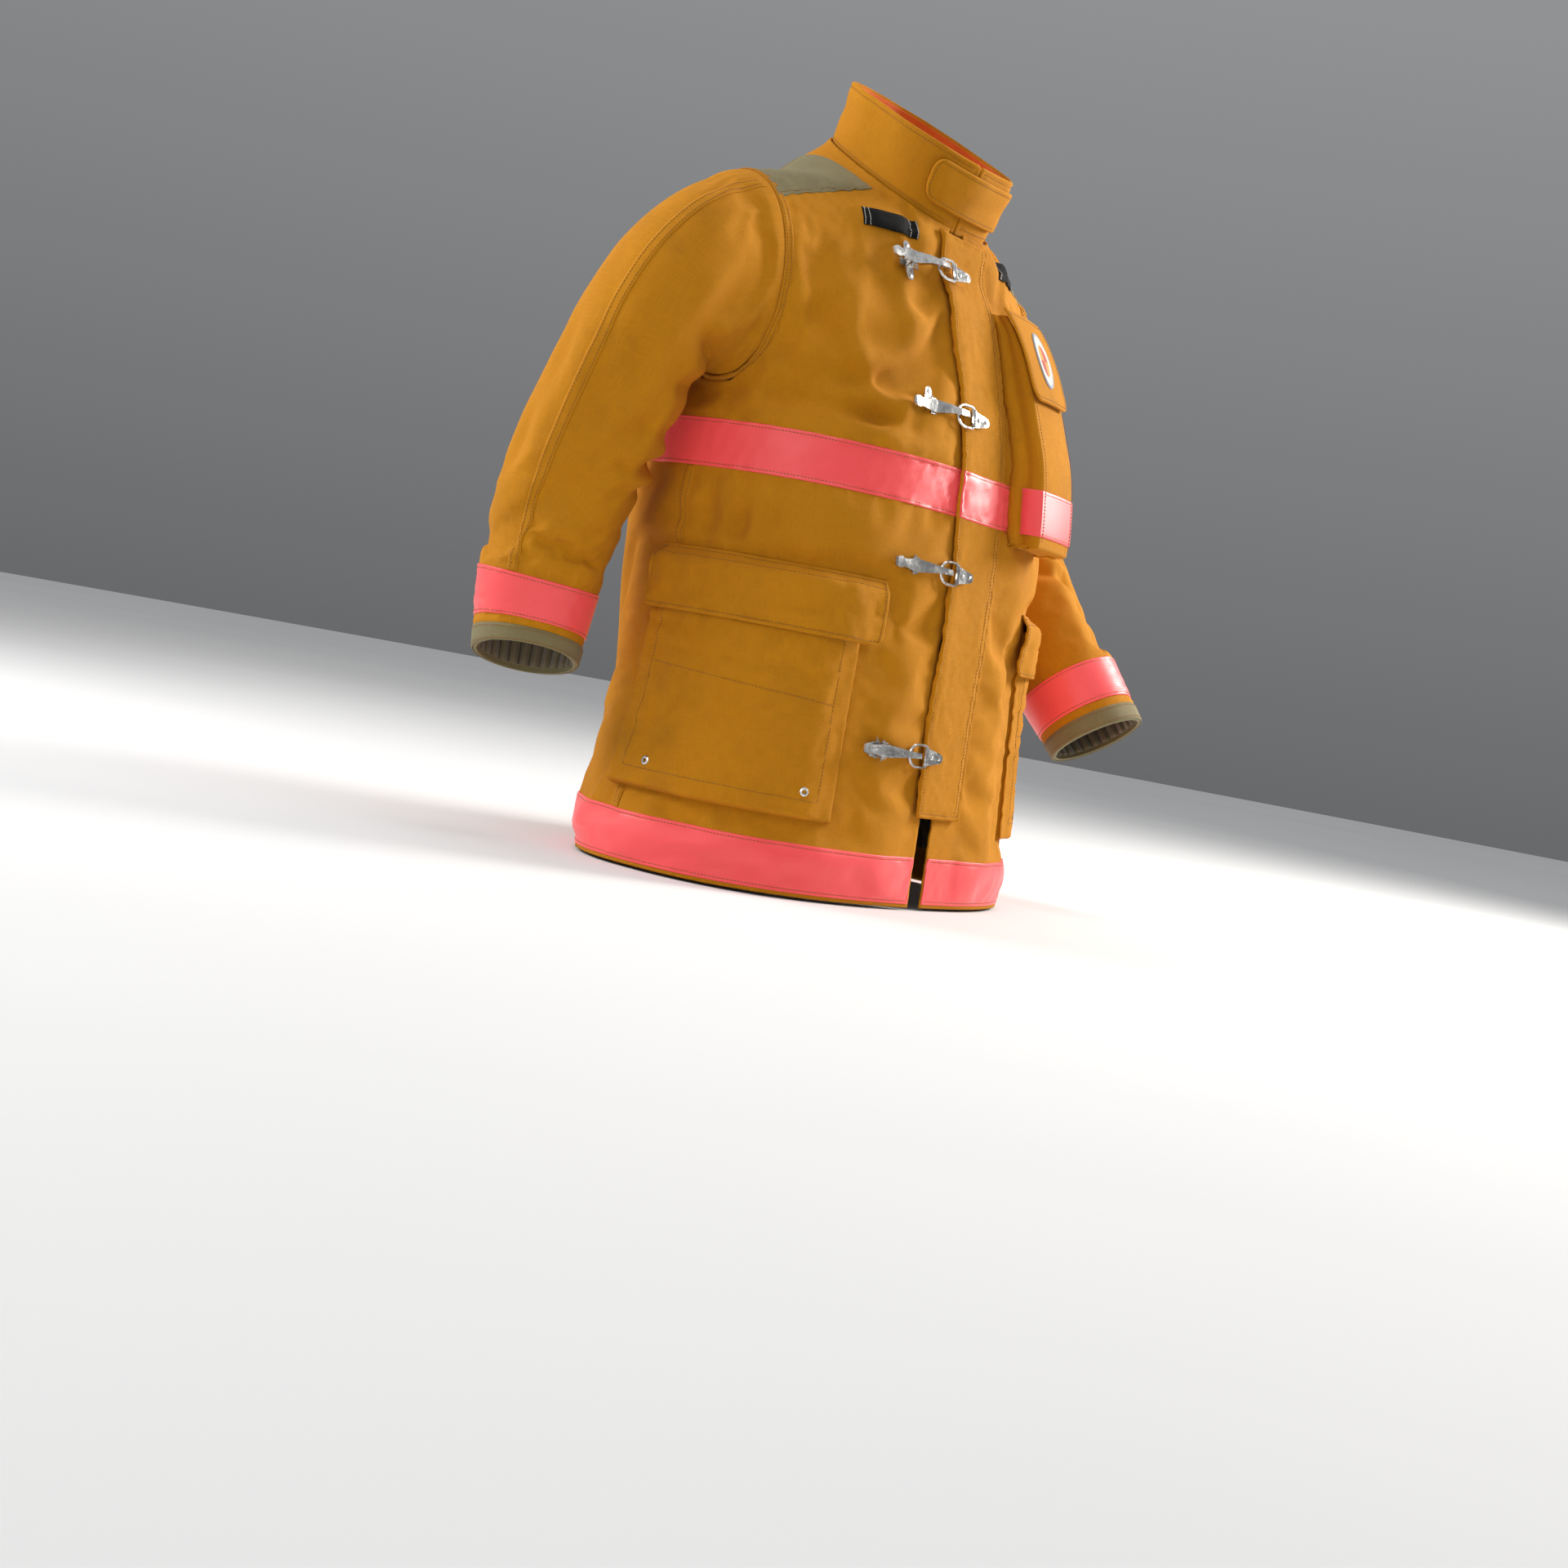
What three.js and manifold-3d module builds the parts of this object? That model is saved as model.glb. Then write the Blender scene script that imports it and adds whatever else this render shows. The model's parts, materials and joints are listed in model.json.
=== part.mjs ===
// A firefighter's turnout coat, standing filled out as on a wearer, with its
// hook-and-dee front closure. Millimetres, +Z up, the front faces -Y and the
// wearer's right arm is on -X. Shapes are worked out from the hem (height 0);
// the finished coat is then shifted so that its origin is the hanger loop.
import * as THREE from 'three';
import Module from 'manifold-3d';
import { mergeVertices } from 'three/addons/utils/BufferGeometryUtils.js';

const wasm = await Module();
wasm.setup();
const { Manifold } = wasm;

// ---- Driving dimensions ---------------------------------------------------
const GAP = 0.4;                 // clearance between pieces that touch
const SHELL = 2.4;               // outer shell cloth, doubled at its seams
const LINER = 3.0;               // quilted thermal liner with moisture barrier
const TRIM_WIDTH = 50.8;         // 2 inch trim tape
const TRIM = [GAP, 1.2];         // how far the tape stands off the shell
const FLAP = [1.9, 6.4];         // storm flap, three layers
const AROUND = 28;               // facets round the body
const ARM_AROUND = 14;           // facets round a sleeve
const SEAM_Y = 26;               // plane of the side and shoulder seams
const FRONT_EDGES = [-30, -17];  // x of the right and left front panels' edges
const ARMHOLE = { x: 242, y: 26, z: 632, high: 108, deep: 70, lean: -7 };
const HANGER = { y: 72, z: 850 };

// Body sections: height, half width, front y, back y.
const BODY = [
  [0, 288, -200, 178], [80, 274, -196, 192], [200, 255, -190, 200], [340, 251, -185, 207],
  [450, 255, -175, 212], [535, 236, -158, 209], [640, 224, -123, 190],
];
// The yoke above them closes in on the neck seam through two tilted rings.
const YOKE = [
  { z: 705, y: 26, wide: 200, deep: 120, tilt: 0.12 },
  { z: 752, y: 13, wide: 156, deep: 107, tilt: 0.34 },
];
const NECK = { z: 789, y: -2, wide: 87, deep: 99, tilt: 0.55 };
const RIM = { z: 853, y: -19, wide: 95, deep: 94, tilt: 0.51 };
// The body's own ring under each shoulder, from which the shell reaches out to the armhole.
const SHOULDER_ROOT = { x: 104, y: 20, z: 668, high: 108, deep: 100, lean: -7 };

// Sleeve stations down each arm: how far the section has turned down, centre x,
// y, z, half height, half depth and forward lean (angles in degrees).
const UPPER_ARM = [
  [22, 285, 616, 97, 72], [44, 311, 588, 87, 75], [64, 323, 558, 80, 76], [80, 329, 532, 77, 77],
];
const SLEEVES = {
  right: { side: -1, upperY: [32, 44, 57, 66], lower: [
    [340, 92, 450, 75, 77, -14], [344, 110, 380, 72, 73, -8], [347, 118, 320, 68, 69, -3],
    [348, 121, 258, 62, 63, -2], [348, 121, 192, 54, 57, -6]] },
  left: { side: 1, upperY: [35, 48, 58, 60], lower: [
    [338, 38, 462, 76, 78, 16], [340, -6, 402, 73, 75, 32], [341, -58, 342, 68, 69, 39],
    [340, -112, 284, 63, 64, 41], [338, -178, 214, 54, 58, 36]] },
};

// Each hook's height, and the x of the pin that its lever turns on.
const HOOKS = [[682, -102], [529, -96], [361, -106], [164, -112]];
const CHEST_TRIM = [424, 424 + TRIM_WIDTH];
const HEM_TRIM = [4, 4 + TRIM_WIDTH];
const POCKET = { from: 37, to: 93, bottom: 82, top: 292, depth: 13, cloth: 2.2 };
const POCKET_FLAP = { from: 35, to: 95, bottom: 270, top: 340, turn: 330 };
// Radio pocket: a bellows pocket on the left chest, with its front face as (y, z) points.
const RADIO = {
  x: [60, 146], top: 640, cloth: 2.2, turn: 9,
  face: [
    [-219, 410], [-217, 440], [-207, 500], [-189, 550], [-166, 606], [-141, 648], [-118, 673], [-100, 686],
  ],
};
const RADIO_FLAP = { x: [56, 150], bottom: 576, thick: 2.6 };

const COLOURS = {
  shell: 0xc98a17, trim: 0xff5b43, patch: 0x7d7448, lining: 0xe8501c,
  liner: 0x3c3a33, tape: 0x1b1a19, metal: 0xc9ccd0, badge: 0xe9e4d8,
};

// ---- Solid helpers --------------------------------------------------------
const coat = new THREE.Group();
const rad = THREE.MathUtils.degToRad;

function toSolid(geometry, matrix) {
  const bare = geometry.clone();
  if (matrix) bare.applyMatrix4(matrix);
  bare.deleteAttribute('normal');
  bare.deleteAttribute('uv');
  const merged = mergeVertices(bare, 1e-5);
  return new Manifold(new wasm.Mesh({
    numProp: 3,
    vertProperties: new Float32Array(merged.attributes.position.array),
    triVerts: new Uint32Array(merged.index.array),
  }));
}

function add(name, solid, slot) {
  const mesh = solid.getMesh();
  const geometry = new THREE.BufferGeometry();
  geometry.setAttribute('position', new THREE.BufferAttribute(new Float32Array(mesh.vertProperties), 3));
  geometry.setIndex(new THREE.BufferAttribute(new Uint32Array(mesh.triVerts), 1));
  geometry.computeVertexNormals();
  const metal = slot === 'metal';
  const material = new THREE.MeshStandardMaterial({
    color: COLOURS[slot], roughness: metal ? 0.25 : 0.85, metalness: metal ? 1 : 0,
  });
  const piece = new THREE.Mesh(geometry, material);
  piece.name = name;
  coat.add(piece);
}

const box = (x0, x1, y0, y1, z0, z1) => toSolid(new THREE.BoxGeometry(x1 - x0, y1 - y0, z1 - z0),
  new THREE.Matrix4().makeTranslation((x0 + x1) / 2, (y0 + y1) / 2, (z0 + z1) / 2));

// A closed solid through rings of equal point count, capped at both ends.
function loft(rings) {
  const count = rings[0].length;
  const points = [...rings.flat()];
  const faces = [];
  for (let r = 0; r + 1 < rings.length; r++) {
    for (let i = 0; i < count; i++) {
      const a = r * count + i;
      const b = r * count + (i + 1) % count;
      faces.push(a, b, b + count, a, b + count, a + count);
    }
  }
  for (const [first, flip] of [[0, true], [(rings.length - 1) * count, false]]) {
    const centre = new THREE.Vector3();
    for (let i = 0; i < count; i++) centre.addScaledVector(points[first + i], 1 / count);
    const c = points.push(centre) - 1;
    for (let i = 0; i < count; i++) {
      const [p, q] = [first + i, first + (i + 1) % count];
      faces.push(...(flip ? [c, q, p] : [c, p, q]));
    }
  }
  const geometry = new THREE.BufferGeometry().setFromPoints(points);
  geometry.setIndex(faces);
  return toSolid(geometry);
}

// Moves every ring of a loft along the surface's own outward normal.
function offsetRings(rings, amount) {
  if (amount === 0) return rings;
  const n = rings[0].length;
  return rings.map((ring, r) => {
    const before = rings[Math.max(r - 1, 0)];
    const after = rings[Math.min(r + 1, rings.length - 1)];
    return ring.map((p, i) => {
      const along = new THREE.Vector3().subVectors(after[i], before[i]);
      const round = new THREE.Vector3().subVectors(ring[(i + 1) % n], ring[(i + n - 1) % n]);
      return p.clone().addScaledVector(round.cross(along).normalize(), amount);
    });
  });
}

// ---- Body form ------------------------------------------------------------
// A round section, flatter in front than a plain ellipse.
function bodyPoint(turn, wide, deep, y, z, tilt) {
  const s = Math.sin(turn);
  const c = Math.cos(turn);
  const power = 2 / (c > 0 ? 2.5 : 2.2);
  const x = wide * Math.sign(s) * Math.abs(s) ** power;
  const dy = -deep * Math.sign(c) * Math.abs(c) ** power;
  return new THREE.Vector3(x, y + dy, z + tilt * dy);
}

const sections = BODY.map(([z, wide, front, back]) => (
  { z, wide, y: (front + back) / 2, deep: (back - front) / 2, tilt: 0 }));

function bodyRing(s) {
  return Array.from({ length: AROUND }, (_, i) => (
    bodyPoint((2 * Math.PI * i) / AROUND, s.wide, s.deep, s.y, s.z, s.tilt)));
}

const bodySections = [...sections, ...YOKE, NECK];
const bodyRings = bodySections.map(bodyRing);

// The shoulder inside the body, which carries the shell out to each armhole.
function uprightRing(side, s, grow) {
  const lean = rad(s.lean);
  return Array.from({ length: ARM_AROUND }, (_, i) => {
    const turn = (-side * 2 * Math.PI * i) / ARM_AROUND;
    const back = (s.deep + grow) * Math.sin(turn);
    const up = (s.high + grow) * Math.cos(turn);
    return new THREE.Vector3(side * s.x, s.y + back * Math.cos(lean) - up * Math.sin(lean),
      s.z + up * Math.cos(lean) + back * Math.sin(lean));
  });
}

function shoulderRings(side, grow, reach) {
  const root = { ...SHOULDER_ROOT, x: SHOULDER_ROOT.x - 2 * grow };
  const stations = [root, ARMHOLE];
  if (reach) stations.push({ ...ARMHOLE, x: ARMHOLE.x + reach });
  return stations.map((s) => uprightRing(side, s, grow));
}

const solids = new Map();
// The whole body form, moved out (or in) by an amount. An opened one runs on
// past the hem, the neck seam and the armholes.
function bodySolid(amount, opened = false) {
  const key = `${amount}/${opened}`;
  if (solids.has(key)) return solids.get(key);
  let rings = offsetRings(bodyRings, amount);
  const reach = opened ? 20 : 0;
  if (opened) {
    const low = rings[0].map((p) => new THREE.Vector3(p.x, p.y, p.z - reach));
    const high = rings[rings.length - 1].map((p) => new THREE.Vector3(p.x, p.y, p.z + reach));
    rings = [low, ...rings, high];
  }
  let solid = loft(rings);
  for (const side of [-1, 1]) {
    solid = solid.add(loft(shoulderRings(side, amount, reach)));
  }
  solids.set(key, solid);
  return solid;
}

const layer = ([low, high]) => bodySolid(high).subtract(bodySolid(low, true));

// A wedge between two turns (degrees from the front, + to the wearer's left).
function wedge(from, to, z0, z1) {
  const reach = 700;
  const shape = new THREE.Shape([
    new THREE.Vector2(0, 20),
    ...Array.from({ length: 5 }, (_, i) => {
      const turn = rad(from + ((to - from) * i) / 4);
      return new THREE.Vector2(reach * Math.sin(turn), 20 - reach * Math.cos(turn));
    })]);
  return toSolid(new THREE.ExtrudeGeometry(shape, { depth: z1 - z0, bevelEnabled: false }),
    new THREE.Matrix4().makeTranslation(0, 0, z0));
}

const FAR = 900;
const openingSlab = box(...FRONT_EDGES, -FAR, 0, -FAR, FAR * 2);
// Everything lower than the neck seam's tilted plane, less a margin.
function belowNeck(margin) {
  const slab = box(-FAR, FAR, -FAR, FAR, -2 * FAR, -margin);
  const tilt = new THREE.Matrix4().makeRotationX(Math.atan(NECK.tilt));
  tilt.setPosition(0, NECK.y, NECK.z);
  return slab.transform(tilt.elements);
}

// ---- Outer shell panels ---------------------------------------------------
const wholeShell = bodySolid(0).subtract(bodySolid(-SHELL, true)).subtract(openingSlab);
const frontHalf = wholeShell.intersect(box(-FAR, FAR, -FAR, SEAM_Y - GAP / 2, -FAR, FAR * 2));
add('back_panel', wholeShell.intersect(box(-FAR, FAR, SEAM_Y + GAP / 2, FAR, -FAR, FAR * 2)), 'shell');
add('right_front_panel', frontHalf.intersect(box(-FAR, -25, -FAR, FAR, -FAR, FAR * 2)), 'shell');
add('left_front_panel', frontHalf.intersect(box(-20, FAR, -FAR, FAR, -FAR, FAR * 2)), 'shell');

// ---- Liner ----------------------------------------------------------------
const linerOut = -(SHELL + GAP);
const liner = bodySolid(linerOut).subtract(bodySolid(linerOut - LINER, true))
  .subtract(box(-70, 30, -FAR, 0, -FAR, FAR * 2))
  .intersect(box(-FAR, FAR, -FAR, FAR, 42, FAR * 2)).intersect(belowNeck(GAP));
add('liner_body', liner, 'liner');

// ---- Sleeves --------------------------------------------------------------
function sleeveStations({ side, upperY, lower }) {
  const upper = UPPER_ARM.map(([turn, x, z, high, deep], i) => (
    { turn, x, y: upperY[i], z, high, deep, lean: -7 * (1 - (i + 1) / UPPER_ARM.length) }));
  const down = lower.map(([x, y, z, high, deep, lean]) => ({ turn: 86, x, y, z, high, deep, lean }));
  return [{ ...ARMHOLE, x: ARMHOLE.x + GAP, turn: 0 }, ...upper, ...down].map((s) => ({ ...s, side }));
}

function sleeveRing(s, grow = 0) {
  const turn = rad(s.turn);
  const out = new THREE.Vector3(s.side * Math.sin(turn), 0, Math.cos(turn));
  const back = new THREE.Vector3(0, 1, 0);
  const lean = new THREE.Matrix4().makeRotationX(-rad(s.lean));
  out.applyMatrix4(lean);
  back.applyMatrix4(lean);
  return Array.from({ length: ARM_AROUND }, (_, i) => {
    const a = (-s.side * 2 * Math.PI * i) / ARM_AROUND;
    return new THREE.Vector3(s.side * s.x, s.y, s.z)
      .addScaledVector(out, (s.high + grow) * Math.cos(a))
      .addScaledVector(back, (s.deep + grow) * Math.sin(a));
  });
}

// A sleeve form from its armhole plane to the cuff, moved out by an amount.
function sleeveSolid(stations, amount, opened = false) {
  const rings = stations.map((s) => sleeveRing(s, amount));
  if (opened) {
    const last = rings.length - 1;
    const run = new THREE.Vector3().subVectors(
      centreOf(stations[last]), centreOf(stations[last - 1])).normalize().multiplyScalar(20);
    rings.push(rings[last].map((p) => p.clone().add(run)));
    rings.unshift(rings[0].map((p) => new THREE.Vector3(p.x - stations[0].side * 20, p.y, p.z)));
  }
  return loft(rings);
}
const centreOf = (s) => new THREE.Vector3(s.side * s.x, s.y, s.z);

// The half space beyond a sleeve's cuff end, less a distance back up the arm.
function beyondCuff(stations, back) {
  const last = stations[stations.length - 1];
  const m = new THREE.Matrix4().makeRotationX(-rad(last.lean));
  m.multiply(new THREE.Matrix4().makeRotationY(last.side * rad(90 - last.turn)));
  m.setPosition(centreOf(last));
  return box(-140, 140, -140, 140, -300, back).transform(m.elements);
}

for (const [name, spec] of Object.entries(SLEEVES)) {
  const stations = sleeveStations(spec);
  const band = ([low, high], from, to) => (
    sleeveSolid(stations, high).subtract(sleeveSolid(stations, low, true))
      .intersect(beyondCuff(stations, to)).subtract(beyondCuff(stations, from)));
  const shell = sleeveSolid(stations, 0).subtract(sleeveSolid(stations, -SHELL, true));
  add(`${name}_sleeve`, shell, 'shell');
  const lining = sleeveSolid(stations, linerOut).subtract(sleeveSolid(stations, linerOut - LINER, true));
  add(`${name}_sleeve_liner`, lining.subtract(beyondCuff(stations, 30)), 'liner');
  add(`${name}_sleeve_trim`, band(TRIM, 32, 32 + TRIM_WIDTH), 'trim');
  add(`${name}_cuff_binding`, band([GAP, 1.8], 0.2, 22), 'patch');
}

// ---- Collar ---------------------------------------------------------------
// A ring of the collar's cone, from the neck seam (0) to the rim (1).
function collarRing(t, amount) {
  const mix = (key) => THREE.MathUtils.lerp(NECK[key], RIM[key], t);
  return bodyRing({
    z: mix('z') + 0.6, y: mix('y'), tilt: mix('tilt'),
    wide: mix('wide') + amount, deep: mix('deep') + amount });
}
const collarSolid = (stations, amount) => loft(stations.map((t) => collarRing(t, amount)));
const collarLayer = (low, high, thin, thick) => (
  collarSolid([low, high], thick).subtract(collarSolid([low - 0.1, high + 0.1], thin)));

add('collar_shell', collarLayer(0, 1, -3, 0).subtract(openingSlab), 'shell');
add('collar_lining', collarLayer(0, 0.96, -5.6, -3 - GAP).subtract(openingSlab), 'lining');
// The throat strap wraps the front of the collar from its left side.
const strap = collarLayer(0.22, 0.86, 1.2, 5.2).intersect(box(-74, 40, -FAR, -20, 0, FAR * 2));
add('throat_strap', strap, 'shell');

// ---- Storm flap and trim --------------------------------------------------
const flapSpan = [-47, 38];
const flapRegion = box(...flapSpan, -FAR, 0, 98, FAR * 2).intersect(belowNeck(3));
add('storm_flap', layer(FLAP).intersect(flapRegion), 'shell');
add('closure_loop_tape', layer([GAP, 0.9]).intersect(box(-46, -32, -FAR, 0, 120, 415)), 'tape');
add('closure_hook_tape', layer([1.25, 1.55]).intersect(box(-46, -32, -FAR, 0, 120, 415)), 'tape');

const zBand = ([low, high]) => box(-FAR, FAR, -FAR, FAR, low, high);
const openFront = box(FRONT_EDGES[0] - 2, FRONT_EDGES[1] + 2, -FAR, 0, -FAR, FAR * 2);
add('chest_trim', layer(TRIM).intersect(zBand(CHEST_TRIM)).subtract(openFront), 'trim');
add('chest_trim_on_flap', layer([FLAP[1] + GAP, FLAP[1] + 1.2]).intersect(zBand(CHEST_TRIM))
  .intersect(box(flapSpan[0] + 1, flapSpan[1] - 1, -FAR, 0, 0, FAR)), 'trim');
add('hem_trim', layer(TRIM).intersect(zBand(HEM_TRIM)).subtract(openFront), 'trim');

for (const [name, side] of [['right', -1], ['left', 1]]) {
  const spans = [112, 250].map((x) => side * x).sort((a, b) => a - b);
  const patch = layer([GAP, 1.6]).intersect(box(...spans, -34, 78, 690, FAR)).intersect(belowNeck(3));
  add(`${name}_shoulder_patch`, patch, 'patch');
}

// ---- Pockets --------------------------------------------------------------
// An open-topped pocket standing off the shell, between two turns.
function pocketSolid(side, p, base) {
  const turns = (grow) => [p.from - grow, p.to + grow].map((t) => side * t).sort((a, b) => a - b);
  const outer = layer([base, p.depth]).intersect(wedge(...turns(0), p.bottom, p.top));
  const hollow = layer([0.1, p.depth - p.cloth]).intersect(
    wedge(...turns(-0.8), p.bottom + p.cloth, p.top + 50));
  return outer.subtract(hollow);
}

function lathe(profile, segments) {
  return new THREE.LatheGeometry(profile.map(([r, z]) => new THREE.Vector2(r, z)), segments);
}

// Position and outward direction on the body form at a turn, a height and an
// offset, as a matrix whose +Z points out and whose +Y points up.
function placeOn(turnDegrees, z, amount) {
  const point = (turn, height) => {
    const i = bodySections.findIndex((s) => s.z > height);
    const [a, b] = [bodySections[i - 1], bodySections[i]];
    const t = (height - a.z) / (b.z - a.z);
    const mix = (key) => THREE.MathUtils.lerp(a[key], b[key], t);
    return bodyPoint(turn, mix('wide'), mix('deep'), mix('y'), height, 0);
  };
  const turn = rad(turnDegrees);
  const step = 0.02;
  const here = point(turn, z);
  const across = point(turn + step, z).sub(point(turn - step, z)).normalize();
  const up = point(turn, z + 4).sub(point(turn, z - 4)).normalize();
  const out = new THREE.Vector3().crossVectors(across, up).normalize();
  up.crossVectors(out, across);
  return new THREE.Matrix4().makeBasis(across, up, out).setPosition(here.addScaledVector(out, amount));
}

const eyelet = lathe([[2.2, 0], [5, 0], [5, 0.7], [3.6, 1.5], [2.2, 1.1], [2.2, 0]], 8);
eyelet.rotateX(Math.PI / 2);
for (const [name, side] of [['right', -1], ['left', 1]]) {
  add(`${name}_pocket`, pocketSolid(side, POCKET, GAP + 0.2), 'shell');
  const f = POCKET_FLAP;
  const turns = [side * f.from, side * f.to].sort((a, b) => a - b);
  const frontCut = wedge(...turns, f.bottom, f.turn + 1);
  const front = layer([POCKET.depth + GAP, POCKET.depth + 3]).intersect(frontCut);
  const top = layer([GAP + 0.2, POCKET.depth + 3]).intersect(wedge(...turns, f.turn, f.top));
  add(`${name}_pocket_flap`, front.add(top), 'shell');
  for (const [end, turn] of [['front', POCKET.from + 5], ['side', POCKET.to - 5]]) {
    const m = placeOn(side * turn, POCKET.bottom + 26, POCKET.depth + GAP + 0.4);
    add(`${name}_${end}_drain_eyelet`, toSolid(eyelet, m), 'metal');
  }
}

// The pocket's face turns a little towards the wearer's left.
const radioTurn = new THREE.Matrix4().makeTranslation(RADIO.x[0], -190, 0)
  .multiply(new THREE.Matrix4().makeRotationZ(rad(RADIO.turn)))
  .multiply(new THREE.Matrix4().makeTranslation(-RADIO.x[0], 190, 0));

// A slab across the radio pocket's width whose front follows its face, moved
// forward by an amount, between two heights.
function radioSlab([x0, x1], forward, z0, z1) {
  const face = RADIO.face.map(([y, z]) => new THREE.Vector2(z, -y + forward));
  const shape = new THREE.Shape([...face, new THREE.Vector2(760, 60), new THREE.Vector2(300, 60),
    new THREE.Vector2(300, -RADIO.face[0][0] + forward)]);
  const turnUp = new THREE.Matrix4().makeBasis(
    new THREE.Vector3(0, 0, 1), new THREE.Vector3(0, -1, 0), new THREE.Vector3(1, 0, 0));
  turnUp.setPosition(x0, 0, 0);
  const geometry = new THREE.ExtrudeGeometry(shape, { depth: x1 - x0, bevelEnabled: false });
  const slab = toSolid(geometry, turnUp).intersect(box(x0, x1, -FAR, 0, z0, z1));
  return slab.transform(radioTurn.elements);
}

{
  const { x, top, cloth, face } = RADIO;
  const bottom = face[0][1];
  const inside = [x[0] + cloth, x[1] - cloth];
  const outer = radioSlab(x, 0, bottom, top).subtract(bodySolid(1.7));
  const hollow = radioSlab(inside, -cloth, bottom + cloth, top + 30).subtract(bodySolid(1.7 + 1.2));
  add('radio_pocket', outer.subtract(hollow), 'shell');
  const flapTop = face[face.length - 1][1] + 4;
  const flap = radioSlab(RADIO_FLAP.x, GAP + RADIO_FLAP.thick, RADIO_FLAP.bottom, flapTop)
    .subtract(radioSlab([-40, 240], GAP, 400, flapTop + 20)).subtract(bodySolid(1.2));
  add('radio_pocket_flap', flap, 'shell');
  const oval = new THREE.Shape().absellipse(0, 0, 21, 32, 0, 2 * Math.PI);
  const plug = new THREE.ExtrudeGeometry(oval, { depth: 200, bevelEnabled: false, curveSegments: 8 });
  plug.rotateX(Math.PI / 2);
  const onFlap = GAP + RADIO_FLAP.thick + GAP;
  const flapFace = radioSlab([-40, 240], onFlap, 400, 760);
  const badge = radioSlab(RADIO_FLAP.x, onFlap + 1, 560, flapTop).subtract(flapFace);
  add('flap_badge', badge.intersect(toSolid(plug, radioTurn.clone().multiply(
    new THREE.Matrix4().makeTranslation((x[0] + x[1]) / 2, -80, 622)))), 'badge');
  const wrapped = (stand) => radioSlab([x[0] - stand, x[1] + stand], stand, CHEST_TRIM[0], CHEST_TRIM[1]);
  const strip = wrapped(TRIM[1]).subtract(radioSlab([x[0] - GAP, x[1] + GAP], GAP, 350, 760));
  add('chest_trim_on_pocket', strip.subtract(bodySolid(1.7)), 'trim');
}

// ---- Microphone tabs ------------------------------------------------------
// A flat webbing strip held on two stitched-down ends, open behind its middle.
for (const [name, side] of [['right', -1], ['left', 1]]) {
  const m = placeOn(side * 34, 722, 0);
  const strip = box(-34, 34, -11, 11, 4.6, 6.2);
  const feet = [-1, 1].map((end) => box(end * 29 - 5, end * 29 + 5, -11, 11, -14, 5.6));
  const tab = strip.add(feet[0]).add(feet[1]).transform(m.elements).subtract(bodySolid(GAP));
  add(`${name}_mic_tab`, tab, 'tape');
}

// ---- Hooks and dees -------------------------------------------------------
// Local frame: +X from tail to nose, +Y up the coat, +Z out. Its plane passes
// just clear of the shell under the base and of the flap under the dee plate.
const PIN = { r: 1.5, hole: 1.8, z: 8.6, half: 11 };
const WIRE = { r: 1.6, z: 12.3, barX: 64, rimX: 38, half: 12 };

function hookFrame(height, pivotX) {
  const xs = [pivotX - 16, pivotX + 68];
  const surface = (x, z) => {
    let best = null;
    for (let t = -50; t <= 10; t += 0.25) {
      const p = new THREE.Vector3().setFromMatrixPosition(placeOn(t, z, 0));
      if (!best || Math.abs(p.x - x) < Math.abs(best.x - x)) best = p;
    }
    return best;
  };
  const [a, b] = xs.map((x) => surface(x, height));
  const across = new THREE.Vector3(b.x - a.x, b.y - a.y, 0).normalize();
  const middle = pivotX + 28;
  const up = surface(middle, height + 12).sub(surface(middle, height - 12));
  const out = new THREE.Vector3().crossVectors(across, up).normalize();
  up.crossVectors(out, across);
  const origin = a.clone().addScaledVector(across, (pivotX - a.x) / across.x);
  return new THREE.Matrix4().makeBasis(across, up, out).setPosition(origin);
}

function extrude(points, depth, z0, curveSegments = 4) {
  const isShape = points instanceof THREE.Shape;
  const shape = isShape ? points : new THREE.Shape(points.map(([x, y]) => new THREE.Vector2(x, y)));
  const geometry = new THREE.ExtrudeGeometry(shape, { depth, bevelEnabled: false, curveSegments });
  return toSolid(geometry, new THREE.Matrix4().makeTranslation(0, 0, z0));
}

function cylinder(r, y0, y1, x, z, segments = 8) {
  return toSolid(new THREE.CylinderGeometry(r, r, y1 - y0, segments),
    new THREE.Matrix4().makeTranslation(x, (y0 + y1) / 2, z));
}

function rivet(x, y, z) {
  const dome = lathe([[0, -0.6], [2.8, -0.6], [2.4, 0.7], [0, 1.3]], 6);
  dome.rotateX(Math.PI / 2);
  return toSolid(dome, new THREE.Matrix4().makeTranslation(x, y, z));
}

function hookBase() {
  const plate = new THREE.Shape();
  plate.moveTo(-14, -8);
  plate.lineTo(-6, -8);
  plate.lineTo(-5, -18);
  plate.absarc(0, -18, 5, Math.PI, 2 * Math.PI, false);
  plate.lineTo(6, -8);
  plate.lineTo(14, -8);
  plate.lineTo(14, 8);
  plate.lineTo(6, 8);
  plate.lineTo(5, 18);
  plate.absarc(0, 18, 5, 0, Math.PI, false);
  plate.lineTo(-6, 8);
  plate.lineTo(-14, 8);
  let solid = extrude(plate, 1.4, 2.2);
  for (const end of [-1, 1]) {
    const lug = box(-4, 4, end > 0 ? 7.2 : -8.8, end > 0 ? 8.8 : -7.2, 3, PIN.z + 3);
    solid = solid.add(lug).add(rivet(0, end * 18, 3.6));
  }
  return solid.subtract(cylinder(PIN.hole, -12, 12, 0, PIN.z));
}

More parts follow.
